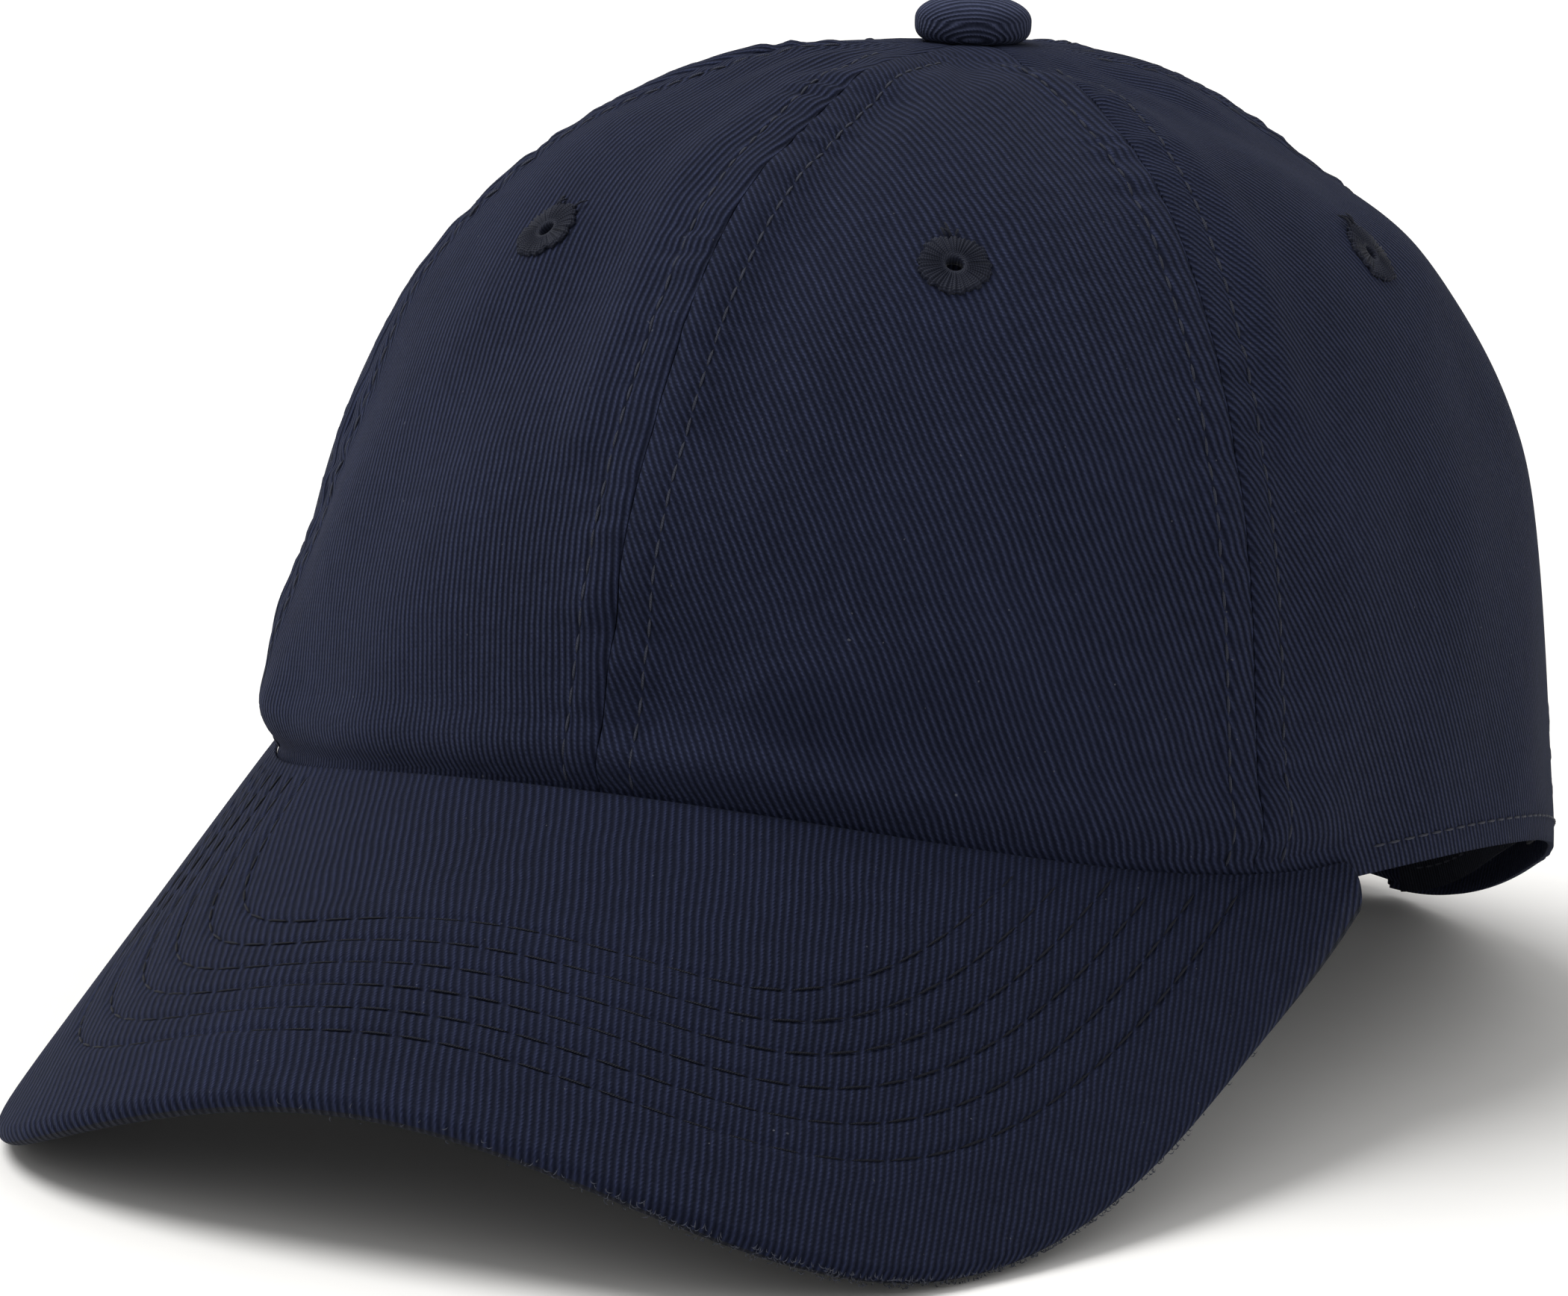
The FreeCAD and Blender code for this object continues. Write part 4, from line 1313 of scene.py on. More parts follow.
@dataclass
class Eyelet:
    """A worked ring of radial threads on both faces of the cloth, round a small bore."""

    cloth: CrownCloth
    radius: float = 5.0 * MM
    threads: int = 46
    columns: int = 276
    ends: Stitching = Stitching(2.0 * MM, 0.0, 0.17 * MM, 0.3 * MM)

    def profile(self) -> Array:
        """Corners of the ring's section as (radius, height), outside face first, closed.

        Returns:
            The corners in metres.
        """
        top = [(r, 0.34 + 0.12 * math.sin(math.pi * (r - 1.4) / 3.2)) for r in
               np.linspace(4.2, 1.5, 12)]
        corners = [(4.62, -0.1), (4.48, 0.16), *top, (1.2, 0.26), (1.1, 0.0), (1.1, -0.6), (1.12, -1.2),
                   (1.35, -1.55), (2.4, -1.68), (3.5, -1.6), (4.0, -1.3), (3.9, -1.08), (2.0, -1.0),
                   (1.9, -0.4), (2.0, 0.02)]
        return np.array(corners) * MM

    def ring(self, name: str, middle: float, seed: int) -> Piece:
        """The profile carried round the bore, corrugated by its threads and ragged at its rim.

        Args:
            name: the piece's name.
            middle: its angle round the crown.
            seed: what its unevenness is drawn from.

        Returns:
            The ring and its thread tails.
        """
        around, up = np.array([middle]), np.array([self.cloth.eyelet_up])
        centre = self.cloth.point(around, up)[0]
        step = 1.5
        across = unit(self.cloth.point(around + step, up) - self.cloth.point(around - step, up))[0]
        rise = self.cloth.point(around, up + step) - self.cloth.point(around, up - step)
        normal = unit(np.cross(across, unit(rise)[0]))
        upward = np.cross(normal, across)
        rng = np.random.default_rng(seed)
        turn = np.linspace(0, 2 * np.pi, self.columns, endpoint=False)[:, None]
        profile = self.profile()
        radius, height = profile[:, 0][None, :], profile[:, 1][None, :]
        ragged = sum(rng.uniform(0.3, 1.0) * np.sin(k * turn + rng.uniform(0, 6.28))
                     for k in (3, 5, 8, 13, 21)) * 0.17 * MM
        cord = np.cos(self.threads * turn + 0.5 * np.sin(7 * turn + seed))
        jump = np.sin(self.threads / 2 * turn + rng.uniform(0, 6.28))
        worked = ramp(radius, 1.2 * MM, 2.2 * MM) * (np.abs(height) > 0.12 * MM)
        outward = np.sign(height + 0.3 * MM)
        lift = (0.11 * cord + 0.05 * jump) * MM * worked * outward
        spread = 1 + (ragged + 0.10 * MM * cord) * ramp(radius, 2.5 * MM, 5 * MM) / self.radius
        wide = radius * spread
        points = (centre + (wide * np.cos(turn))[..., None] * across
                  + (wide * np.sin(turn))[..., None] * upward + (height + lift)[..., None] * normal)
        cut = np.stack(np.broadcast_arrays(turn * self.radius / 6, radius), axis=-1)
        ring = grid_piece(name, points, cut, wrap_columns=True, wrap_rows=True)
        tail_turn = np.radians(rng.uniform(62, 118, 4))
        foot = centre + (np.cos(tail_turn)[:, None] * across + np.sin(tail_turn)[:, None] * upward
                         ) * (4.3 * MM) + normal * (0.32 * MM)
        lean = np.radians(rng.uniform(50, 130, 4))
        reach = rng.uniform(1.6, 2.7, 4)[:, None] * MM
        tip = (foot + (np.cos(lean)[:, None] * across + np.sin(lean)[:, None] * upward) * reach
               - normal * (0.3 * MM))
        tails = self.ends.rods(name, foot, tip, np.broadcast_to(normal, foot.shape))
        return joined(name, [ring, tails])

    def build(self) -> None:
        """Six eyelets."""
        names = ("front_left", "side_left", "back_left", "front_right", "side_right", "back_right")
        for seed, (name, middle) in enumerate(zip(names, self.cloth.eyelets())):
            piece = self.ring(f"eyelet_{name}_worked", middle, seed + 3)
            piece.make(Finish.EYELET, Body.CAP, [f"eyelet_{name}"])


# Brim --------------------------------------------------------------------------------------------
@dataclass
class Brim:
    """The brim's two twill covers over its board, six rows of stitching, and its edge's fuzz."""

    form: BrimForm = field(default_factory=BrimForm)
    columns: int = 280
    rows: int = 120
    edge_rows: int = 12
    edge_round: float = 1.45 * MM
    cover: float = 0.45 * MM
    first_row: float = 13.4 * MM
    row_pitch: float = 4.65 * MM
    row_count: int = 6
    pillow: float = 0.20 * MM
    sink: float = 0.30 * MM
    row_half_width: float = 0.55 * MM
    row_proud: float = 0.06 * MM
    row_clear: float = 1.5 * MM
    cut: tuple[float, float] = (0.196, 0.098)
    area: float = 0.0142
    stitches: Stitching = Stitching(4.3 * MM, 0.8 * MM, 0.16 * MM, 0.02 * MM)
    fuzz: Stitching = Stitching(1.3 * MM, 0.0, 0.055 * MM, 0.35 * MM, 5, 4)

    @property
    def offsets(self) -> Array:
        """How far in from the edge each row of stitching runs."""
        return self.first_row + self.row_pitch * np.arange(self.row_count)

    def relief(self, side: Array, forward: Array, edge: Array) -> Array:
        """Height over the smooth face: soft channels between sunk rows, and a slow unevenness.

        Args:
            side: flat distance to the side.
            forward: flat distance forward.
            edge: distance in from the outer edge.

        Returns:
            Heights in metres.
        """
        rows = sum(hill(edge - offset, self.row_half_width) for offset in self.offsets)
        last = self.offsets[-1] + self.row_pitch
        stitched = ramp(edge, 6 * MM, 11 * MM) * (1 - ramp(edge, last - 3 * MM, last + 2 * MM))
        slow = (np.sin(side / (13 * MM) + 1.0) * np.sin(forward / (11 * MM)) * 0.12
                + np.sin(side / (5.3 * MM) + forward / (9 * MM)) * 0.05) * MM
        return self.pillow * (0.45 + 0.55 * stitched) - self.sink * rows + slow

    def face(self, name: str, below: bool) -> Piece:
        """One cover: its face, then a quarter round over the edge to meet the other cover.

        The quarter round's inset is r (1 - cos) and its drop is r (1 - sin) of one angle.

        Args:
            name: the piece's name.
            below: whether it is the under cover.

        Returns:
            The piece.
        """
        across = np.linspace(-1, 1, self.columns)[:, None]
        _, _, length = self.form.place(across, 1.0)
        roll = np.minimum(self.edge_round, 0.45 * length)
        flat = (length - roll) * np.linspace(0, 1, self.rows)[None, :]
        turn = np.linspace(0, np.pi / 2, self.edge_rows + 1)[None, 1:]
        distance = np.concatenate([flat, length - roll * (1 - np.sin(turn))], axis=1)
        drop = np.concatenate([np.zeros(flat.shape), -self.edge_round * (1 - np.cos(turn))
                               + np.zeros(roll.shape)], axis=1)
        side, forward, _ = self.form.place(across, distance / length)
        edge = self.form.edge_distance(side, forward)
        outward = self.form.outward(side, forward, distance)
        relief = self.relief(side, forward, edge) * ramp(edge, 0.0, 5 * MM)
        relief *= ramp(distance, 0.0, 3 * MM)
        middle = self.form.thickness / 2
        level = middle - 0.04 * MM + relief + drop * (middle / self.edge_round)
        offset = -middle - level if below else -middle + level
        points = self.form.outside(side, forward) + outward * offset[..., None]
        cut = np.stack([side, forward], axis=-1)
        piece = grid_piece(name, points, cut)
        if not below:
            piece.faces = piece.faces[:, ::-1]
        return piece

    def row_lines(self, below: bool) -> list[tuple[Array, Array]]:
        """Each row's points and outward directions: where its offset is met along every ray.

        Args:
            below: whether the rows are on the under cover.

        Returns:
            Points and outward directions of each row.
        """
        across = np.linspace(-0.995, 0.995, 900)[:, None]
        share = np.linspace(0, 1, 160)[None, :]
        side, forward, _ = self.form.place(across, share)
        edge = self.form.edge_distance(side, forward)
        lines = []
        for offset in self.offsets:
            place = (edge >= offset).sum(axis=1) - 1
            met = place >= 0
            row = np.arange(len(place))[met]
            place = np.minimum(place[met], share.size - 2)
            before, after = edge[row, place], edge[row, place + 1]
            part = (before - offset) / np.maximum(before - after, 1e-9)
            at = (share[0, place] + part * (share[0, 1] - share[0, 0]))[:, None]
            s, f, ray = self.form.place(across[row], at)
            distance = at * ray
            outward = self.form.outward(s, f, distance)[:, 0]
            lift = (self.pillow - self.sink + self.row_proud) * ramp(distance, 0.0, 3 * MM)
            level = -lift - self.form.thickness if below else lift
            points = self.form.outside(s, f)[:, 0] + outward * level
            keep = distance[:, 0] > self.row_clear
            lines.append((points[keep], (-outward if below else outward)[keep]))
        return lines

    def build(self) -> None:
        """Both covers and their stitching."""
        for below, name, finish in ((False, "brim_top", Finish.BRIM),
                                    (True, "brim_under", Finish.UNDER_BRIM)):
            made = self.face(f"{name}_cloth", below).make(
                finish, Body.CAP, [f"{name}_cover"], self.cover)
            rows = [self.stitches.row(name, *line) for line in self.row_lines(below)]
            joined(f"{name}_stitches", rows).make(Finish.SUNK_THREAD, Body.CAP)
        dress("brim_board", Finish.BOARD)

    def build_fuzz(self, count: int = 420) -> None:
        """Worn fibre ends along the edge, thickest towards the wearer's left of the front.

        Args:
            count: how many fibres.
        """
        rng = np.random.default_rng(5)
        across = np.clip(rng.normal(0.36, 0.15, count), -0.9, 0.9)
        side, forward, length = self.form.place(across, 1.0)
        outward = self.form.outward(side, forward, length)
        base = self.form.outside(side, forward) - outward * rng.uniform(0.3, 2.6, (count, 1)) * MM
        ahead = self.form.outside(*self.form.place(across, 1.02)[:2]) - self.form.outside(side, forward)
        ahead = unit(ahead)
        along = np.cross(outward, ahead)
        turn = rng.uniform(0, 2 * np.pi, (count, 1))
        way = unit(np.cos(turn) * along + np.sin(turn) * outward + 0.35 * ahead)
        reach = rng.uniform(0.4, 1.1, (count, 1)) * MM
        piece = self.fuzz.rods("brim_edge_fuzz", base - way * reach / 2, base + way * reach / 2, ahead)
        piece.make(Finish.EDGE_FIBRE, Body.CAP)


# Button ------------------------------------------------------------------------------------------
@dataclass
class Button:
    """The cloth-covered button: a low dome with a rolled rim, its cloth drawn in underneath."""

    form: CrownForm
    radius: float = 7.95 * MM
    height: float = 6.2 * MM
    lift: float = 0.3 * MM
    skirt: float = 0.8 * MM
    shoulder: float = 0.92
    hem: float = 0.59
    thickness: float = 0.4 * MM
    turn: float = 24.0
    columns: int = 160
    rows: int = 72

    def build(self) -> None:
        """Radius and height are r cos^p t and h sin^p t.

        The power p is `shoulder` above the waist and `hem` below it.
        """
        mouth = 0.5
        t = np.linspace(-math.acos(mouth ** 1.7), np.pi / 2 - 0.002, self.rows)[None, :]
        around = np.linspace(0, 2 * np.pi, self.columns, endpoint=False)[:, None]
        waist = self.height * 0.42
        full = np.where(t > 0, self.shoulder, self.hem)
        reach = np.abs(np.cos(t)) ** full
        rise = np.sign(t) * np.abs(np.sin(t)) ** full
        waves = np.sin(14 * around) + 0.6 * np.sin(23 * around + 1)
        gather = waves * 0.10 * MM * ramp(-t, 0.1, 1.0)
        uneven = (0.05 * np.sin(3 * around + 0.5) + 0.03 * np.sin(5 * around)) * MM
        radius = self.radius * reach + (gather + uneven) * reach
        base = self.form.top + self.lift
        top = self.height - waist
        z = base + waist + np.where(rise > 0, top, waist + self.skirt) * rise + 0 * around
        y = self.form.axis_y + radius * np.sin(around)
        points = np.stack([radius * np.cos(around), y, z], -1)
        lean = math.radians(self.turn)
        wrap = 1 + 0.9 * ramp(0.6 - t, 0.0, 1.6)
        across = radius * wrap
        cut = np.stack([across * np.sin(around - lean), across * np.cos(around - lean)], axis=-1)
        piece = grid_piece("button_cover_cloth", points, cut, wrap_columns=True)
        columns, rows = points.shape[:2]
        piece.extra_faces = [[i * rows + rows - 1 for i in range(columns)]]
        # Its finish is painted lighter than the crown's navy: painted light on the button.
        made = piece.make(Finish.BUTTON_PAINTED_LIGHT, Body.CAP, ["button_cover"], self.thickness)
        for node in ("button_core", "button_rivet", "button_washer"):
            dress(node, Finish.STEEL)


# Linings -----------------------------------------------------------------------------------------
@dataclass
class Linings:
    """Seam tapes, the back opening's binding, the sweatband and two blank labels."""

    cloth: CrownCloth
    tape_width: float = 15.0 * MM
    tape_depth: float = -1.02 * MM
    tape_ply: float = 0.48 * MM
    tape_low: float = 3.0 * MM
    binding_top: float = 48.0 * MM
    binding_width: float = 8.0 * MM
    opening_half_width: float = 38.0 * MM
    opening_straight: float = 10.0 * MM
    band_low: float = 1.0 * MM
    band_height: float = 32.0 * MM
    band_depth: float = -3.05 * MM
    band_half_ply: float = 0.62 * MM
    band_end: float = 146.0
    band_step: float = 3.6 * MM
    label_depth: float = -1.78 * MM
    care_depth: float = -3.98 * MM
    label_ply: float = 0.3 * MM
    long_tape_end: float = 10.0 * MM
    short_tape_end: float = 19.0 * MM
    tape_above: float = 1.0 * MM
    label_above: float = 6.0 * MM
    label_height: float = 16.0 * MM
    label_width: float = 42.0 * MM
    care_around: float = 88.0
    care_low: float = 6.0 * MM
    care_top: float = 4.0 * MM
    care_width: float = 18.0 * MM
    binding_section: int = 60
    binding_row: float = 3.9
    stitches: Stitching = Stitching(2.4 * MM, 0.8 * MM, 0.15 * MM, 0.08 * MM)

    def strip(self, name: str, middle: float, width: float, lengths: tuple[float, float],
              depth: float, columns: int, rows: int) -> Piece:
        """A flat strip up the inside of the crown, centred on a meridian.

        Args:
            name: the piece's name.
            middle: the meridian's angle round the crown.
            width: its width.
            lengths: cloth lengths from the lower edge to its two ends.
            depth: distance outwards from the cloth.
            columns: points across.
            rows: points along.

        Returns:
            The piece.
        """
        form = self.cloth.form
        up = self.cloth.up_of_length(np.linspace(*lengths, rows))[None, :]
        degree = form.degree(np.full(up.shape, middle), up)
        across = np.linspace(-0.5, 0.5, columns)[:, None] * width
        around = middle + across / degree
        up = np.broadcast_to(up, around.shape)
        points = self.cloth.point(around, up, depth)
        length = np.interp(up, *self.cloth.table)
        return grid_piece(name, points, np.stack([across + 0 * length, length], axis=-1))

    def length_at(self, around: float, height: float) -> float:
        """Length of cloth up a meridian from the lower edge to a height above it."""
        up = self.cloth.form.up_at(np.float64(around), height)
        return float(np.interp(up, *self.cloth.table))

    def build_tapes(self) -> None:
        """Six tapes over the seams."""
        form = self.cloth.form
        seams = {"centre_front": 0.0, "front_left": form.front_seam, "front_right": -form.front_seam,
                 "back_left": form.back_seam, "back_right": -form.back_seam, "centre_back": 180.0}
        top = float(self.cloth.table[1][-1])
        for name, seam in seams.items():
            low = self.length_at(seam, self.tape_low)
            if seam == 180.0:
                low = self.length_at(seam, self.binding_top + self.binding_width + self.tape_above)
            high = top - (self.long_tape_end if name.startswith("centre") else self.short_tape_end)
            piece = self.strip(f"seam_tape_{name}_cloth", seam, self.tape_width, (low, high),
                               self.tape_depth, 21, 120)
            made = piece.make(Finish.TAPE, Body.CAP, [f"seam_tape_{name}"], self.tape_ply)

    def build_binding(self) -> None:
        """A bias strip folded over the opening's edge: a U section carried along the arch.

        The section is in (away from the opening, outwards).  Beside the strap its inner side is thin.
        """
        form = self.cloth.form
        straight = np.linspace(0.5 * MM, self.opening_straight, 14)[:-1]
        turn = np.linspace(0, np.pi, 120)
        half = self.opening_half_width
        x = np.concatenate([np.full(13, half), half * np.cos(turn), np.full(13, -half)])
        z = np.concatenate([straight, self.opening_straight + half * np.sin(turn), straight[::-1]])
        around, up = form.behind(x, z)
        line = self.cloth.point(around, up)
        normal = form.normal(around, up)
        along = unit(np.gradient(line, axis=0))
        away = unit(np.cross(along, normal))
        away *= np.sign((away * (line - np.array([0, line[:, 1].mean(), 12 * MM]))).sum(-1).mean())
        outer = [(0.25, 0.14), (3.0, 0.12), (5.3, 0.1), (5.75, 0.16), (5.85, 0.38), (5.6, 0.56),
                 (5.0, 0.6), (3.9, 0.46), (2.6, 0.62), (1.0, 0.66), (0.0, 0.6), (-0.55, 0.35),
                 (-0.8, -0.1), (-0.84, -0.5)]
        inner = [(-0.7, -1.0), (-0.4, -1.3), (0.2, -1.5), (2.0, -1.56), (3.9, -1.46), (6.0, -1.56),
                 (7.7, -1.52), (7.95, -1.3), (7.8, -1.05), (4.0, -1.0), (0.4, -0.96), (-0.12, -0.7),
                 (-0.12, -0.1)]
        wide = ramp(z, 20.5 * MM, 25 * MM)[:, None]
        outer_points = np.array(outer) * MM
        inner_points = np.array(inner) * MM
        inner_away = inner_points[:, 0] * (0.06 + 0.94 * wide) - 0.1 * MM * (1 - wide)
        thin = np.maximum(inner_points[:, 1], -0.9 * MM)
        inner_deep = thin * (1 - wide) + inner_points[:, 1] * wide
        shape = (len(line), len(outer))
        place = np.concatenate([np.broadcast_to(outer_points[:, 0], shape), inner_away], axis=1)
        level = np.concatenate([np.broadcast_to(outer_points[:, 1], shape), inner_deep], axis=1)
        points = (line[:, None] + place[..., None] * away[:, None]
                  + level[..., None] * normal[:, None])
        round_way = arc_lengths(points[self.binding_section])
        cut = np.stack(np.broadcast_arrays(arc_lengths(line)[:, None], round_way[None, :]), axis=-1)
        piece = grid_piece("opening_binding_cloth", points, cut, wrap_rows=True, capped=True)
        made = piece.make(Finish.STRAP, Body.CAP, ["opening_binding"])
        for name, lift, out in (("binding_stitches_outside", 0.52, 1),
                                ("binding_stitches_inside", -1.52, -1)):
            keep = slice(None) if out > 0 else z > 26 * MM
            row = line + away * (self.binding_row * MM) + normal * (lift * MM)
            made = self.stitches.row(name, row[keep], (normal * out)[keep])
            made.make(Finish.SEAM_THREAD, Body.CAP)

    def build_sweatband(self) -> None:
        """A soft folded band inside the lower edge: a flat rounded section carried round."""
        form = self.cloth.form
        around = np.linspace(-self.band_end, self.band_end, 420)[:, None]
        t = np.linspace(0, 1, 15)
        rise = np.concatenate([t, t[::-1]])[None, :]
        side = np.concatenate([np.ones(15), -np.ones(15)])[None, :]
        rounded = (1 - np.abs(2 * rise - 1) ** 8) ** 0.5 * 0.86 + 0.14
        low = form.up_at(around, np.full(around.shape, self.band_low))
        high = form.up_at(around, np.full(around.shape, self.band_height))
        up = low + (high - low) * rise
        step = self.band_step * ramp(np.abs(around), 100.0, 127.0)
        ripple = (np.sin(around * 0.9) * np.sin(around * 0.37 + 1) * 0.18 * MM) * rise * (side < 0)
        row = hill(rise - 0.09, 0.035) * 0.2 * MM * (side < 0)
        depth = self.band_depth + side * rounded * self.band_half_ply - step - ripple * 0.5 + row
        wide = np.broadcast_to(around, up.shape)
        points = form.outside(wide, up) + form.normal(wide, up) * depth[..., None]
        degree = form.degree(around, 0 * around + 5.0)
        steps = degree[1:] * np.diff(around, axis=0)
        round_way = np.concatenate([[[0.0]], np.cumsum(steps, axis=0)])
        height = np.where(side > 0, rise, 2 - rise) * self.band_height
        cut = np.stack(np.broadcast_arrays(round_way, height), axis=-1)
        piece = grid_piece("sweatband_cloth", points, cut, wrap_rows=True, capped=True)
        piece.faces = piece.faces[:, ::-1]
        piece.extra_faces = [face[::-1] for face in piece.extra_faces]
        made = piece.make(Finish.SWEATBAND, Body.CAP, ["sweatband"])
        line_around = around[3:-3, 0]
        rows = []
        for share in (0.09, 0.2):
            line_up = (low + (high - low) * share)[3:-3, 0]
            normal = form.normal(line_around, line_up)
            inward = self.band_depth - self.band_half_ply - step[3:-3, 0]
            line = form.outside(line_around, line_up) + normal * inward[:, None]
            rows.append(self.stitches.row("sweatband_stitches", line, -normal))
        joined("sweatband_stitches", rows).make(Finish.SEAM_THREAD, Body.CAP)

    def build_labels(self) -> None:
        """A blank label above the back opening, and a blank care label on the sweatband."""
        foot = self.binding_top + self.binding_width + self.label_above
        ends = (self.length_at(180.0, foot), self.length_at(180.0, foot + self.label_height))
        piece = self.strip("blank_label_cloth", 180.0, self.label_width, ends,
                           self.label_depth, 60, 26)
        made = piece.make(Finish.LABEL, Body.CAP, ["blank_label"], self.label_ply)
        ends = (self.length_at(self.care_around, self.care_low),
                self.length_at(self.care_around, self.band_height - self.care_top))
        piece = self.strip("care_label_cloth", self.care_around, self.care_width, ends,
                           self.care_depth, 30, 30)
        made = piece.make(Finish.LABEL, Body.CAP, ["care_label"], self.label_ply)

    def build(self) -> None:
        """Every lining."""
        self.build_tapes()
        self.build_binding()
        self.build_sweatband()
        self.build_labels()


# Strap -------------------------------------------------------------------------------------------
@dataclass
class Strap:
    """The adjusting strap, its sewn tab and the brass flip buckle."""

    axis_y: float = (28.9 + 103.0 - 84.5**2 / 103.0) * MM
    inner: float = 65.32 * MM
    outer: float = 66.56 * MM
    low: float = 2.2 * MM
    width: float = 18.0 * MM
    half_angle: float = 44.0
    corner: float = 5.0 * MM
    row_inset: float = 2.2 * MM
    buckle_angle: float = math.radians(17.0)
    bar_offset: float = 9.4 * MM
    bar_centre: float = 68.45 * MM
    loop_radius: float = 1.24 * MM
    tab_outer: float = 67.62 * MM
    tab_inner: float = 67.10 * MM
    tab_ply: float = 0.46 * MM
    tab_end: float = 45.0
    tab_sewn: float = 30.0
    row_sink: float = 0.04 * MM
    cut_apart: float = 0.02
    stitches: Stitching = Stitching(2.3 * MM, 0.7 * MM, 0.14 * MM, 0.06 * MM)

    def at(self, angle: Array, radius: Array, z: Array) -> Array:
        """Point at an angle from the centre back, towards the wearer's left."""
        return np.stack(np.broadcast_arrays(radius * np.sin(angle),
                                            self.axis_y + radius * np.cos(angle), z), axis=-1)

    def edge_rows(self, name: str, angle: Array, radius: float, sense: int = 1) -> list[Piece]:
        """A row of stitches along each edge of the strap or the tab.

        Args:
            name: the piece's name.
            angle: angles from the centre back.
            radius: how far from the axis the rows lie.
            sense: 1 on the outer face, -1 on the inner.

        Returns:
            The two rows.
        """
        outward = unit(self.at(angle, 2.0, 0.0) - self.at(angle, 1.0, 0.0)) * sense
        heights = (self.low + self.row_inset, self.low + self.width - self.row_inset)
        return [self.stitches.row(name, self.at(angle, radius, height), outward)
                for height in heights]

    def build_strap(self) -> None:
        """A flat section with soft edges carried round the back, its tail's corners rounded."""
        reach = math.radians(self.half_angle)
        angle = np.linspace(-reach, reach, 170)[:, None]
        middle = (self.inner + self.outer) / 2
        from_end = (reach - angle) * middle
        cut_in = np.clip(1 - from_end / self.corner, 0.0, 0.96)
        half = self.width / 2 - self.corner * (1 - np.sqrt(1 - cut_in**2))
        place, side, rounded = tape_section(19)
        channel = hill(np.abs(place) * self.width / 2 - (self.width / 2 - self.row_inset), 0.8 * MM)
        radius = middle + side * ((self.outer - self.inner) / 2 * rounded - 0.12 * MM * channel)
        z = self.low + self.width / 2 + half * place
        points = self.at(angle, radius, z)
        cut = np.stack(np.broadcast_arrays(angle * middle, z + side * self.cut_apart), axis=-1)
        piece = grid_piece("strap_cloth", points, cut, wrap_rows=True, capped=True)
        made = piece.make(Finish.STRAP, Body.STRAP, ["strap"])
        line_angle = np.linspace(-reach + 0.02, reach - self.corner / middle, 160)
        rows = []
        for sense, level in ((1, self.outer), (-1, self.inner)):
            radius = level - sense * self.row_sink
            rows += self.edge_rows("strap_stitches", line_angle, radius, sense)
        joined("strap_stitches", rows).make(Finish.SEAM_THREAD, Body.STRAP)

    def build_tab(self) -> None:
        """A doubled tab looped round the buckle's bar: one path, out, round the bar and back."""
        turn = self.buckle_angle
        bar = np.array([self.bar_centre * math.sin(turn) + self.bar_offset * math.cos(turn),
                        self.axis_y + self.bar_centre * math.cos(turn)
                        - self.bar_offset * math.sin(turn)])
        bar_turn = math.atan2(bar[0], bar[1] - self.axis_y)
        tangent = np.array([math.cos(bar_turn), -math.sin(bar_turn)])
        radial = np.array([math.sin(bar_turn), math.cos(bar_turn)])
        away = np.radians(np.linspace(self.tab_end, 28.2, 40))
        spin = np.radians(np.linspace(55, 292, 44))[:, None]
        loop = bar + self.loop_radius * (np.cos(spin) * tangent + np.sin(spin) * radial)
        outer = self.at(away, self.tab_outer, 0.0)[:, :2]
        inner = self.at(away[::-1], self.tab_inner, 0.0)[:, :2]
        path = np.concatenate([outer, loop, inner])
        for _ in range(5):
            path[1:-1] = 0.25 * path[:-2] + 0.5 * path[1:-1] + 0.25 * path[2:]
        way = unit(np.gradient(path, axis=0))
        square = np.stack([way[:, 1], -way[:, 0]], axis=-1)
        place, side, rounded = tape_section(13)
        offset = side * rounded * self.tab_ply / 2
        plan = path[:, None] + offset[..., None] * square[:, None]
        z = self.low + self.width / 2 + place * (self.width / 2 - 0.2 * MM)
        heights = np.broadcast_to(z[..., None], plan.shape[:2] + (1,))
        points = np.concatenate([plan, heights], axis=-1)
        length = arc_lengths(path)[:, None]
        cut = np.stack(np.broadcast_arrays(length, z + side * self.cut_apart), axis=-1)
        piece = grid_piece("strap_tab_cloth", points, cut, wrap_rows=True, capped=True)
        made = piece.make(Finish.STRAP, Body.CAP, ["strap_tab"])
        face = self.tab_outer + self.tab_ply / 2
        line_angle = np.radians(np.linspace(self.tab_sewn + 0.5, self.tab_end - 1, 60))
        rows = self.edge_rows("tab_stitches", line_angle, face)
        up_line = np.linspace(self.low + self.row_inset, self.low + self.width - self.row_inset, 30)
        line = self.at(np.full(30, math.radians(self.tab_sewn)), face, up_line)
        out = np.broadcast_to(unit(line[0] - np.array([0, self.axis_y, line[0, 2]])), line.shape)
        rows.append(self.stitches.row("tab_stitches", line, out))
        joined("tab_stitches", rows).make(Finish.SEAM_THREAD, Body.CAP)

    def build(self) -> None:
        """Strap, tab and buckle."""
        self.build_strap()
        self.build_tab()
        for node in ("buckle_frame", "buckle_pin", "buckle_clasp"):
            dress(node, Finish.BRASS)


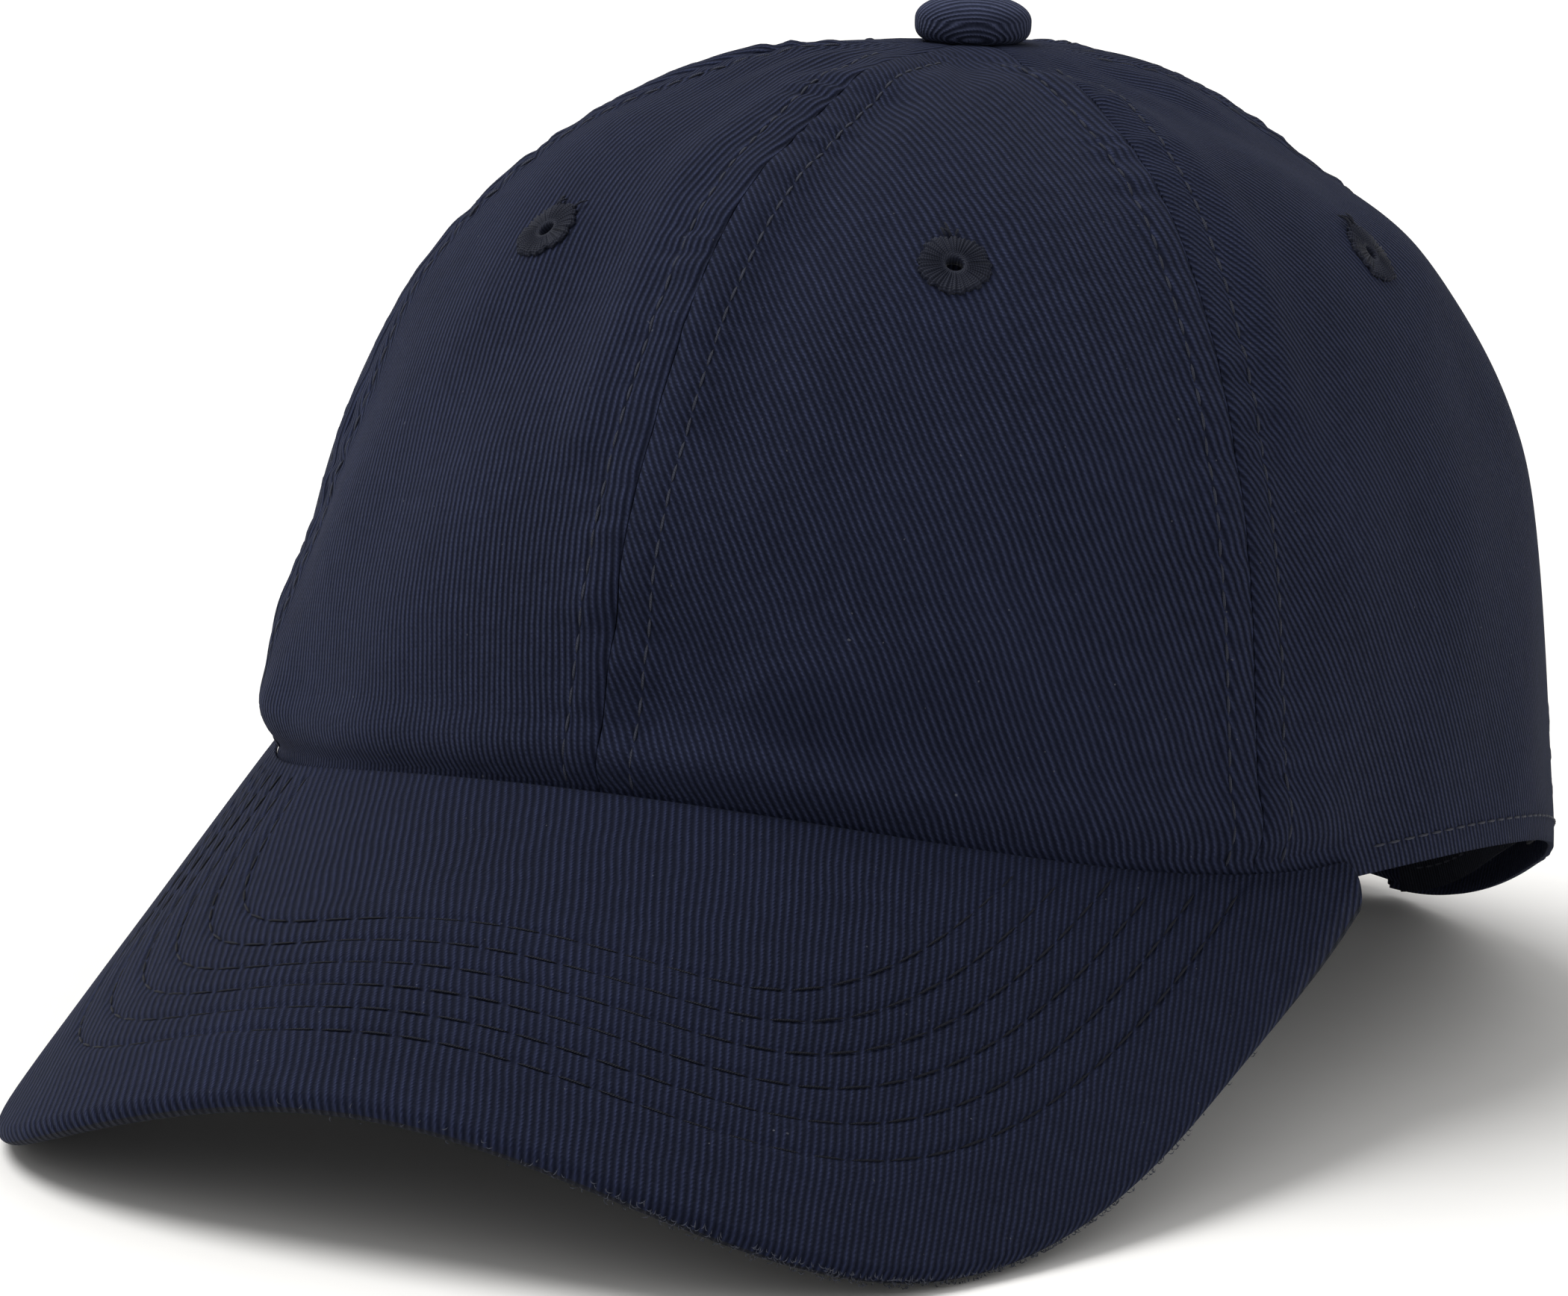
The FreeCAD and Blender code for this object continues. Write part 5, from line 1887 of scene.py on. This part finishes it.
# Studio ------------------------------------------------------------------------------------------
@dataclass(frozen=True)
class Studio:
    """Pale floor, soft light all round with a soft key from the front left, and the camera."""

    azimuth: float = math.radians(24.4)
    elevation: float = math.radians(10.0)
    roll: float = math.radians(1.93)
    distance: float = 0.769
    aim: tuple[float, float, float] = (-0.00528, -0.0085, 0.051)
    lens: float = 133.8
    sensor: float = 36.0
    floor_size: float = 30.0
    floor_level: float = -1.4 * MM
    sky: float = 0.60
    key: float = 2.15
    key_softness: float = math.radians(38.0)
    key_from: tuple[float, float, float] = (-0.50, -0.12, 1.0)

    def build_floor(self) -> None:
        """A plain pale floor."""
        half = self.floor_size / 2
        mesh = bpy.data.meshes.new("floor")
        corners = [(x, y, self.floor_level) for x, y in
                   ((-half, -half), (half, -half), (half, half), (-half, half))]
        mesh.from_pydata(corners, [], [(0, 1, 2, 3)])
        graph = Graph("pale_floor")
        grain = graph.noise(120.0, 2.0, 0.5)
        tone = graph.mix(grain, shade(0.95, 0.938, 0.915), shade(0.97, 0.958, 0.935))
        mesh.materials.append(graph.finish(Base_Color=tone, Roughness=0.9, Specular_IOR_Level=0.0))
        floor = bpy.data.objects.new("floor", mesh)
        bpy.context.scene.collection.objects.link(floor)

    def build_light(self) -> None:
        """An even white surround and one broad soft key."""
        world = bpy.data.worlds.new("studio")
        world.use_nodes = True
        background = world.node_tree.nodes["Background"]
        background.inputs["Color"].default_value = shade(1.0, 1.0, 1.0)
        background.inputs["Strength"].default_value = self.sky
        bpy.context.scene.world = world
        lamp = bpy.data.lights.new("soft_key", "SUN")
        lamp.energy = self.key
        lamp.angle = self.key_softness
        key = bpy.data.objects.new("soft_key", lamp)
        key.rotation_euler = Vector(self.key_from).to_track_quat("Z", "Y").to_euler()
        bpy.context.scene.collection.objects.link(key)

    def build_camera(self) -> None:
        """A long lens level with the brim, a little above the cap's middle."""
        sin_a, cos_a = math.sin(self.azimuth), math.cos(self.azimuth)
        sin_e, cos_e = math.sin(self.elevation), math.cos(self.elevation)
        right = Vector((cos_a, sin_a, 0.0))
        back = Vector((sin_a * cos_e, -cos_a * cos_e, sin_e))
        up = back.cross(right)
        across = right * math.cos(self.roll) + up * math.sin(self.roll)
        rise = up * math.cos(self.roll) - right * math.sin(self.roll)
        place = Vector(self.aim) + back * self.distance
        turn = Matrix((across, rise, back)).transposed().to_4x4()
        lens = bpy.data.cameras.new("camera")
        lens.lens = self.lens
        lens.sensor_width = self.sensor
        lens.clip_start = 0.01
        lens.clip_end = 100.0
        camera = bpy.data.objects.new("camera", lens)
        camera.matrix_world = Matrix.Translation(place) @ turn
        bpy.context.scene.collection.objects.link(camera)
        bpy.context.scene.camera = camera

    def build(self) -> None:
        """Floor, light and camera."""
        self.build_floor()
        self.build_light()
        self.build_camera()
        bpy.context.scene.view_settings.view_transform = "Standard"


def main() -> None:
    """Build every sub-assembly in order."""
    logging.basicConfig(level=logging.INFO, format="%(message)s")
    cloth = CrownCloth()
    crown = Crown(cloth)
    crown.build_panels()
    crown.build_seam_stitches()
    crown.build_edge_stitches()
    Eyelet(cloth).build()
    brim = Brim()
    brim.build()
    brim.build_fuzz()
    Button(cloth.form).build()
    Linings(cloth).build()
    Strap().build()
    Studio().build()


if __name__ == "__main__":
    main()
